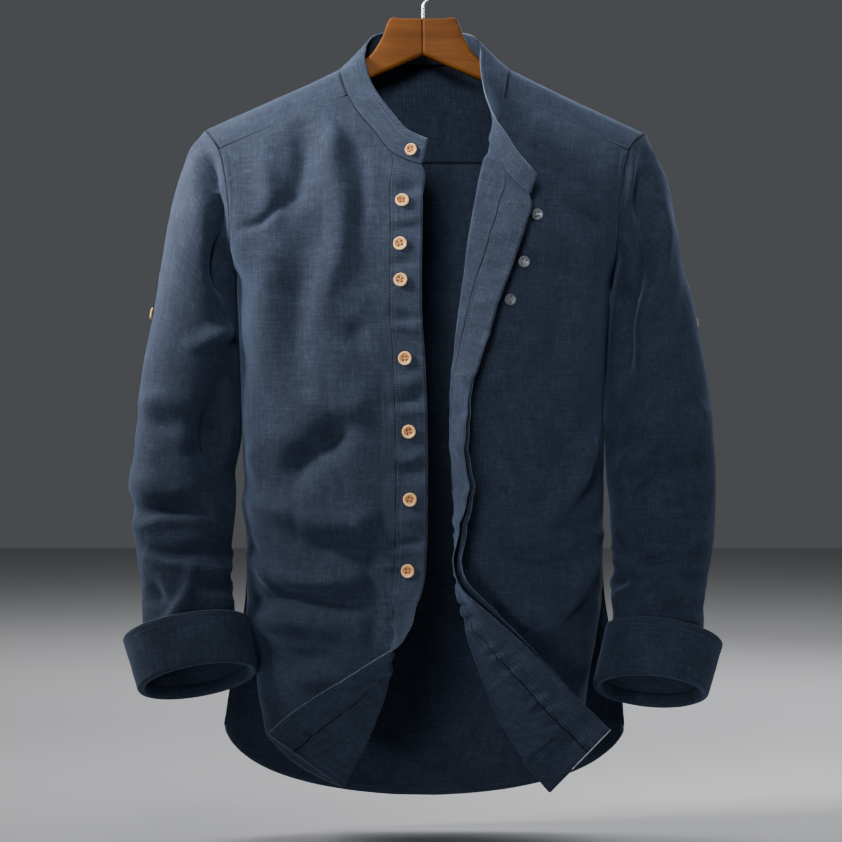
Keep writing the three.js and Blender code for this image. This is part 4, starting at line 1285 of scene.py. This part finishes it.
def make_yoke():
    grid = yoke_grid()
    u, v = np.meshgrid(np.arange(grid.shape[1]) * YOKE_PITCH[0], np.arange(grid.shape[0]) * YOKE_PITCH[1])
    height = rumple(u, v, 60, 60, 61) * 0.5 * border_fade(grid.shape, 6, 8, 5, 5)
    cloth_piece("yoke", grid, -1, height, CLOTH, "shirt_cloth",
                "top bottom first last", grain=yoke_grain(grid))


def make_collar():
    grid = collar_grid()
    u, v = np.meshgrid(np.arange(grid.shape[1]) * COLLAR_PITCH[0], np.arange(grid.shape[0]) * COLLAR_PITCH[1])
    height = rumple(u, v, 34, 40, 71) * 0.35 * border_fade(grid.shape, 0, 4)
    cloth_piece("collar", grid, 1, height, DOUBLE, "double_cloth", "top")


def make_sleeve(name, rows, cuff, branches, creases, side, seed):
    cuff_grid = cuff_grid_of(cuff)
    grid = with_tail(sleeve_grid(rows, branches), cuff_grid)
    turns, v = np.meshgrid(np.arange(SLEEVE_COLUMNS) / SLEEVE_COLUMNS, runs(grid[:, 0]))
    angle = turns * 2 * math.pi
    facing = np.sin(angle)
    front = creased(grid, creases) * ease((facing + 0.35) / 0.7)
    behind = creased(grid - [0, 0, 14], creases) * ease((0.35 - facing) / 0.7)
    tucks = TUCK_HEIGHT * np.sin(angle * TUCKS + 1.1) * ease((v / v[-1] - 0.88) / 0.1)
    tucks *= 0.35 + 0.65 * np.clip(np.sin(angle - 0.6), 0, 1)
    height = rumple_round(turns, 340, v, 50, 60, seed) * 0.9 + front + behind * 0.8 + tucks
    height *= border_fade(grid.shape, top=10, bottom=8)
    beside = ease((-np.cos(angle) - 0.72) / 0.22) * ease((grid[..., 2] - BESIDE_UNTIL) / BESIDE_OVER)
    height = mix(height, 0.35, beside * border_fade(grid.shape, top=4))
    cloth_piece("sleeve_" + name, grid, side, height, CLOTH, "shirt_cloth", "top bottom", loop=True)
    turns, v = np.meshgrid(turns[0], runs(cuff_grid[:, 0]))
    height = rumple_round(turns, 300, v, 40, 60, seed + 5) * 0.5 * border_fade(cuff_grid.shape, top=9)
    cloth_piece("cuff_" + name, cuff_grid, side, height, DOUBLE, "double_cloth", "", loop=True)


# Lines of sewing

# Straight middle of a stitch, each way, as a share of its length; how far its ends sink, of its height
STITCH_STRAIGHT = 0.28
STITCH_SINK = 0.3
# Pitch of the stitches round a buttonhole, and how far they lie from its middle line
HOLE_PITCH = 0.62
HOLE_SIDE = 0.85


def edge_line(surface, edge, distance, start=0.0, stop=1.0):
    """Points, normals and half thickness at a distance inside one edge of a surface."""
    grid, normal, half = SURFACES[surface]
    rows = np.concatenate([grid, normal, half[..., None]], axis=-1)
    if edge in ("top", "bottom"):
        rows = rows.transpose(1, 0, 2)
    if edge in ("bottom", "last"):
        rows = rows[:, ::-1]
    count = len(rows)
    found = np.array([between(distance, runs(row[:, :3]), row)
                      for row in rows[int(start * (count - 1)):int(stop * (count - 1)) + 1]])
    return found[:, :3], unit(found[:, 3:6]), found[:, 6]


def resampled(line, pitch):
    points, normals, halves = line
    run = runs(points)
    marks = np.arange(pitch / 2, run[-1], pitch)
    return between(marks, run, points), unit(between(marks, run, normals)), np.interp(marks, run, halves)


class Beads:
    """Small stitches gathered into one mesh."""

    def __init__(self):
        self.vertices = []
        self.faces = []

    def add(self, middle, along, out, length, width, high):
        side = np.cross(along, out)
        start = len(self.vertices)
        self.vertices.append(middle - along * length / 2 - out * high * STITCH_SINK)
        for step in (-STITCH_STRAIGHT, STITCH_STRAIGHT):
            for angle in np.arange(STITCH_SIDES) / STITCH_SIDES * 2 * math.pi:
                across = side * math.cos(angle) * width / 2
                upward = out * math.sin(angle) * high / 2
                self.vertices.append(middle + along * length * step + across + upward)
        self.vertices.append(middle + along * length / 2 - out * high * STITCH_SINK)
        near = start + 1
        far = near + STITCH_SIDES
        end = far + STITCH_SIDES
        for k in range(STITCH_SIDES):
            j = (k + 1) % STITCH_SIDES
            self.faces.append((start, near + j, near + k))
            self.faces.append((near + k, near + j, far + j, far + k))
            self.faces.append((end, far + k, far + j))

    def row(self, line, faces=(1,), pitch=3.1, length=2.3, width=0.62, high=0.5):
        points, normals, halves = resampled(line, pitch)
        along = unit(np.gradient(points, axis=0))
        for face in faces:
            for p, t, n, half in zip(points, along, normals, halves):
                t = unit(t - n * (t @ n))
                self.add(p + n * face * (half + 0.12), t, n * face, length, width, high)

    def piece(self, name, slot="shirt_cloth", material=THREAD):
        held(mesh_piece(name, self.vertices, self.faces, material), slot)


def buttonhole(beads, surface, row, inset, length):
    """A worked buttonhole across a row of a surface, its middle inset from the last column."""
    grid, normal, half = SURFACES[surface]
    run = runs(grid[row][::-1])
    middle = between(inset, run, grid[row][::-1])
    out = unit(between(inset, run, normal[row][::-1]))
    down = unit(grid[row + 2, -4] - grid[row - 2, -4])
    down = unit(down - out * (down @ out))
    along = np.cross(out, down)
    cross_way = np.cross(out, along)
    lift = half[row, 0] + 0.15
    for n in (out, -out):
        for step in np.arange(-length / 2, length / 2 + 0.01, HOLE_PITCH):
            for s in (-HOLE_SIDE, HOLE_SIDE):
                beads.add(middle + along * step + cross_way * s + n * lift, cross_way, n, 1.5, 0.6, 0.55)
        for end in (-length / 2 - 0.4, length / 2 + 0.4):
            for s in (-0.9, -0.3, 0.3, 0.9):
                beads.add(middle + along * end + cross_way * s + n * lift, along, n, 1.6, 0.6, 0.6)


# Buttons

# Height over radius of a button's section, in sevenths of its radius; its holes' places and sizes in radii
BUTTON_PROFILE = [
    (0, 1.75), (0.45, 1.78), (0.62, 1.95), (0.7, 2.35), (0.76, 2.65), (0.84, 2.75), (0.92, 2.62),
    (0.98, 2.2), (1.0, 1.6), (0.99, 1.0), (0.94, 0.45), (0.85, 0.12), (0.6, 0.0), (0, 0.0),
]
HOLE_REACH = 0.26
HOLE_RADIUS = 0.135
BUTTON_DISH = 0.25
CORNERS = ((1, 1), (-1, 1), (-1, -1), (1, -1))


def lathe(profile, segments):
    """Points and faces of a turned disc; the profile starts and ends on the axis."""
    vertices = []
    faces = []
    rings = []
    for radius, height in profile:
        first = len(vertices)
        angles = np.arange(segments if radius else 1) / segments * 2 * math.pi
        vertices += [(radius * math.cos(a), radius * math.sin(a), height) for a in angles]
        rings.append(range(first, len(vertices)))
    for upper, lower in zip(rings[:-1], rings[1:]):
        for k in range(segments):
            j = (k + 1) % segments
            if len(upper) == 1:
                faces.append((upper[0], lower[j], lower[k]))
            elif len(lower) == 1:
                faces.append((upper[k], upper[j], lower[0]))
            else:
                faces.append((upper[k], upper[j], lower[j], lower[k]))
    return vertices, faces


def button_mesh(name, radius, material):
    """A disc with a raised rim, a dished middle and four thread holes."""
    points, faces = lathe([(r * radius, h * radius / 7) for r, h in BUTTON_PROFILE], BUTTON_SIDES)
    body = mesh_piece(name, points, faces, material)
    reach = radius * HOLE_REACH
    cutters = []
    for sx, sy in CORNERS:
        bpy.ops.mesh.primitive_cylinder_add(
            vertices=HOLE_SIDES, radius=radius * HOLE_RADIUS * MM, depth=radius * MM,
            location=(sx * reach * MM, sy * reach * MM, radius * 0.12 * MM))
        cutters.append(bpy.context.active_object)
        cut = body.modifiers.new("hole", "BOOLEAN")
        cut.operation = "DIFFERENCE"
        cut.object = cutters[-1]
        cut.solver = "EXACT"
    bpy.context.view_layer.update()
    drilled = bpy.data.meshes.new_from_object(body.evaluated_get(bpy.context.evaluated_depsgraph_get()))
    for used in (*cutters, body):
        bpy.data.objects.remove(used)
    return drilled


def nearest(surface, target, columns=slice(None)):
    """Point, outward normal and half thickness of a surface nearest to a target."""
    grid, normal, half = (part[:, columns] for part in SURFACES[surface])
    far = np.linalg.norm(grid - target, axis=-1)
    place = np.unravel_index(far.argmin(), far.shape)
    slide = target - grid[place]
    out = normal[place] * (1 if normal[place] @ slide >= 0 else -1)
    return grid[place] + slide - out * (slide @ out), out, half[place]


def sew_button(name, surface, mesh, radius, slot, spin, columns=slice(None)):
    """A turned button and its thread, over the middle of its node."""
    target = np.mean(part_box(name), axis=0) / MM
    point, out, half = nearest(surface, target, columns)
    right = unit(np.cross([0, 0, 1], out))
    right = right * math.cos(spin) + np.cross(out, right) * math.sin(spin)
    up = np.cross(out, right)
    place = point + out * (half + BUTTON_LIFT)
    button = bpy.data.objects.new(name + "_turned", mesh)
    bpy.context.scene.collection.objects.link(button)
    world = np.eye(4)
    world[:3] = np.stack([right, up, out, place * MM], axis=-1)
    button.matrix_world = Matrix(world.tolist())
    held(button, slot, name)
    dish = radius * BUTTON_DISH
    threads = Beads()
    for sx, sy in CORNERS:
        foot = place + (right * sx + up * sy) * radius * HOLE_REACH + out * (dish - BUTTON_LIFT) / 2
        threads.add(foot, out, right, dish + BUTTON_LIFT + 0.6, 0.9, 0.9)
    threads.piece(name + "_thread", slot)


# Where the sewing and the buttons go

OUT = (1,)
BOTH = (1, -1)
HOLE_HEIGHTS = (-266.0, -353.0, -440.0, -535.0, -622.0)
BUTTON_RADIUS = 7.0
SMALL_RADIUS = 6.2
DARK_RADIUS = 6.0


def sew_front(name, armpit):
    """Armhole, side, band seam, free edge and hem of one front."""
    panel = "front_" + name
    armhole = armpit / FRONT_ROWS
    beads = Beads()
    beads.row(edge_line(panel, "first", 8.0, 0.03, armhole))
    beads.row(edge_line(panel, "first", 1.8, 0.03, armhole), width=0.5)
    beads.row(edge_line(panel, "first", 2.2, armhole + 0.02, 1.0))
    beads.row(edge_line(panel, "bottom", 6.0, 0.02, 0.98), BOTH)
    for edge, inset in (("first", 1.6), ("first", 6.0), ("last", 2.0), ("bottom", 6.0)):
        beads.row(edge_line("placket_" + name, edge, inset), BOTH)
    beads.piece(panel + "_sewing")


def sew(surface, slot, *lines):
    """Rows of stitches, each with its edge, distance inside it, faces, and the stretch of the edge."""
    beads = Beads()
    for edge, inset, faces, *stretch in lines:
        beads.row(edge_line(surface, edge, inset, *stretch), faces)
    beads.piece(surface + "_sewing", slot)


def sew_shirt():
    sew_front("right", ARMPIT_RIGHT)
    sew_holes()
    pale_hem()
    sew_front("left", ARMPIT_LEFT)
    sew("back", "shirt_cloth", ("bottom", 6.0, BOTH, 0.01, 0.99), ("first", 2.2, OUT), ("last", 2.2, OUT))
    sew("yoke", "shirt_cloth", ("bottom", 1.8, BOTH), ("first", 1.8, OUT), ("last", 1.8, OUT))
    sew("collar", "double_cloth", ("bottom", 2.0, BOTH), ("bottom", 6.5, BOTH), ("top", 1.8, BOTH),
        ("first", 2.0, BOTH), ("last", 2.0, BOTH))
    for name in ("cuff_right", "cuff_left"):
        sew(name, "double_cloth", ("bottom", 2.2, BOTH), ("bottom", 7.5, BOTH), ("bottom", 44.0, OUT))


def pale_hem():
    """The left front's lower corner: pale stitches along its hem edge, a painted highlight where the edge
    catches the light.
    """
    beads = Beads()
    for surface, *stretch in (("placket_left",), ("placket_left_outer",), ("front_left", 0.87, 1.0)):
        line = edge_line(surface, "bottom", 0.1, *stretch)
        beads.row(line, BOTH, pitch=1.3, length=1.9, width=1.1, high=0.5)
    beads.piece("hem_edge", "double_cloth", PALE_THREAD)


def sew_holes():
    """Buttonholes down the left band and one in the collar's left end."""
    beads = Beads()
    heights = SURFACES["placket_left"][0][:, BAND_COLUMNS // 2, 2]
    for height in HOLE_HEIGHTS:
        row = int(np.abs(heights - height).argmin())
        buttonhole(beads, "placket_left", row, BAND_WIDTH * 0.55, 14.0)
    buttonhole(beads, "collar", COLLAR_ROWS // 2, 12.0, 13.0)
    beads.piece("buttonholes", "double_cloth")


def sew_buttons():
    wood = button_mesh("button_wood_disc", BUTTON_RADIUS, BUTTON_WOOD)
    small = button_mesh("button_small_disc", SMALL_RADIUS, BUTTON_WOOD)
    dark = button_mesh("button_dark_disc", DARK_RADIUS, GUNMETAL)
    for i in range(7):
        spin = 0.3 * math.sin(i * 2.1)
        sew_button("button_" + str(i + 1), "placket_right", wood, BUTTON_RADIUS, "button_wood", spin)
    sew_button("collar_button", "collar", small, SMALL_RADIUS, "button_wood", 0.4)
    for i in range(3):
        sew_button("dark_button_" + str(i + 1), "front_left", dark, DARK_RADIUS, "button_metal", 0.2 + i,
                   slice(0, BODY_COLUMNS))
    for name, surface in (("sleeve_button_1", "sleeve_right"), ("sleeve_button_2", "sleeve_left")):
        sew_button(name, surface, small, SMALL_RADIUS, "button_wood", 0.2)


# Hanger

def tube(name, rings, material):
    """Mesh through closed rings of points, capped."""
    count = len(rings[0])
    number = np.arange(count * len(rings)).reshape(len(rings), count)
    after = np.roll(number, -1, axis=1)
    sides = np.stack([number[:-1], after[:-1], after[1:], number[1:]], axis=-1).reshape(-1, 4)
    caps = [number[0, ::-1].tolist(), number[-1].tolist()]
    return mesh_piece(name, np.concatenate(rings), sides.tolist() + caps, material)


def hanger_arm(name, side):
    last = len(HANGER_ARM["x"]) - 1
    rings = []
    for place in np.linspace(0, last, ARM_RINGS):
        row = row_at(HANGER_ARM, place)
        middle = (row["top"] + row["bottom"]) / 2
        half = (row["top"] - row["bottom"]) / 2
        soft = min(half, row["half"]) * 0.62
        ring = []
        for sy, sz in CORNERS:
            for corner in np.linspace(0, 1, ARM_CORNER_STEPS):
                swing = (corner if sy * sz > 0 else 1 - corner) * math.pi / 2
                ring.append((
                    side * row["x"],
                    row["y"] + sy * (row["half"] - soft + soft * math.cos(swing)),
                    middle + sz * (half - soft + soft * math.sin(swing)),
                ))
        rings.append(np.array(ring if side < 0 else ring[::-1]))
    held(tube(name + "_turned", rings, HANGER_WOOD), "hanger_wood", name)


def hook_rod():
    places = np.linspace(0, len(HOOK["x"]) - 1, HOOK_RINGS)
    centre = np.stack([smooth(HOOK["x"], places), 0 * places, smooth(HOOK["z"], places)], -1)
    across = np.cross(unit(np.gradient(centre, axis=0)), [0, 1, 0])
    angle = np.arange(HOOK_SIDES)[:, None] / HOOK_SIDES * 2 * math.pi
    rings = []
    for k, (c, a) in enumerate(zip(centre, across)):
        from_end = min(1.0, (len(centre) - 1 - k) / 3)
        radius = HOOK_RADIUS * math.sqrt(1 - (1 - from_end) ** 2 * 0.9)
        rings.append(c + (np.cos(angle) * a + np.sin(angle) * np.array([0, 1, 0])) * radius)
    held(tube("hook_rod", rings, STEEL), "hook_steel", "hanger_hook")


# The whole shirt

set_camera()
set_lights()
make_floor()

make_front("right", FRONT_RIGHT, 3, CREASES_RIGHT, CREASES_PLACKET_RIGHT, 1, 2, -1, 11)
left_band, left_height = make_front(
    "left", FRONT_LEFT, 5, CREASES_LEFT, CREASES_PLACKET_LEFT, -1, 24, 1, 23)
outer_ply(left_band, left_height, -1)
make_back()
make_yoke()
make_collar()
make_sleeve("right", SLEEVE_RIGHT, CUFF_RIGHT,
            armhole_runs(SHOULDER_RIGHT, FRONT_RIGHT, ARMPIT_RIGHT, "xright"), CREASES_SLEEVE_RIGHT, 1, 81)
make_sleeve("left", SLEEVE_LEFT, CUFF_LEFT,
            armhole_runs(SHOULDER_LEFT, FRONT_LEFT, ARMPIT_LEFT, "xleft"), CREASES_SLEEVE_LEFT, -1, 93)

sew_shirt()
sew_buttons()
hanger_arm("hanger_arm_right", -1)
hanger_arm("hanger_arm_left", 1)
hook_rod()
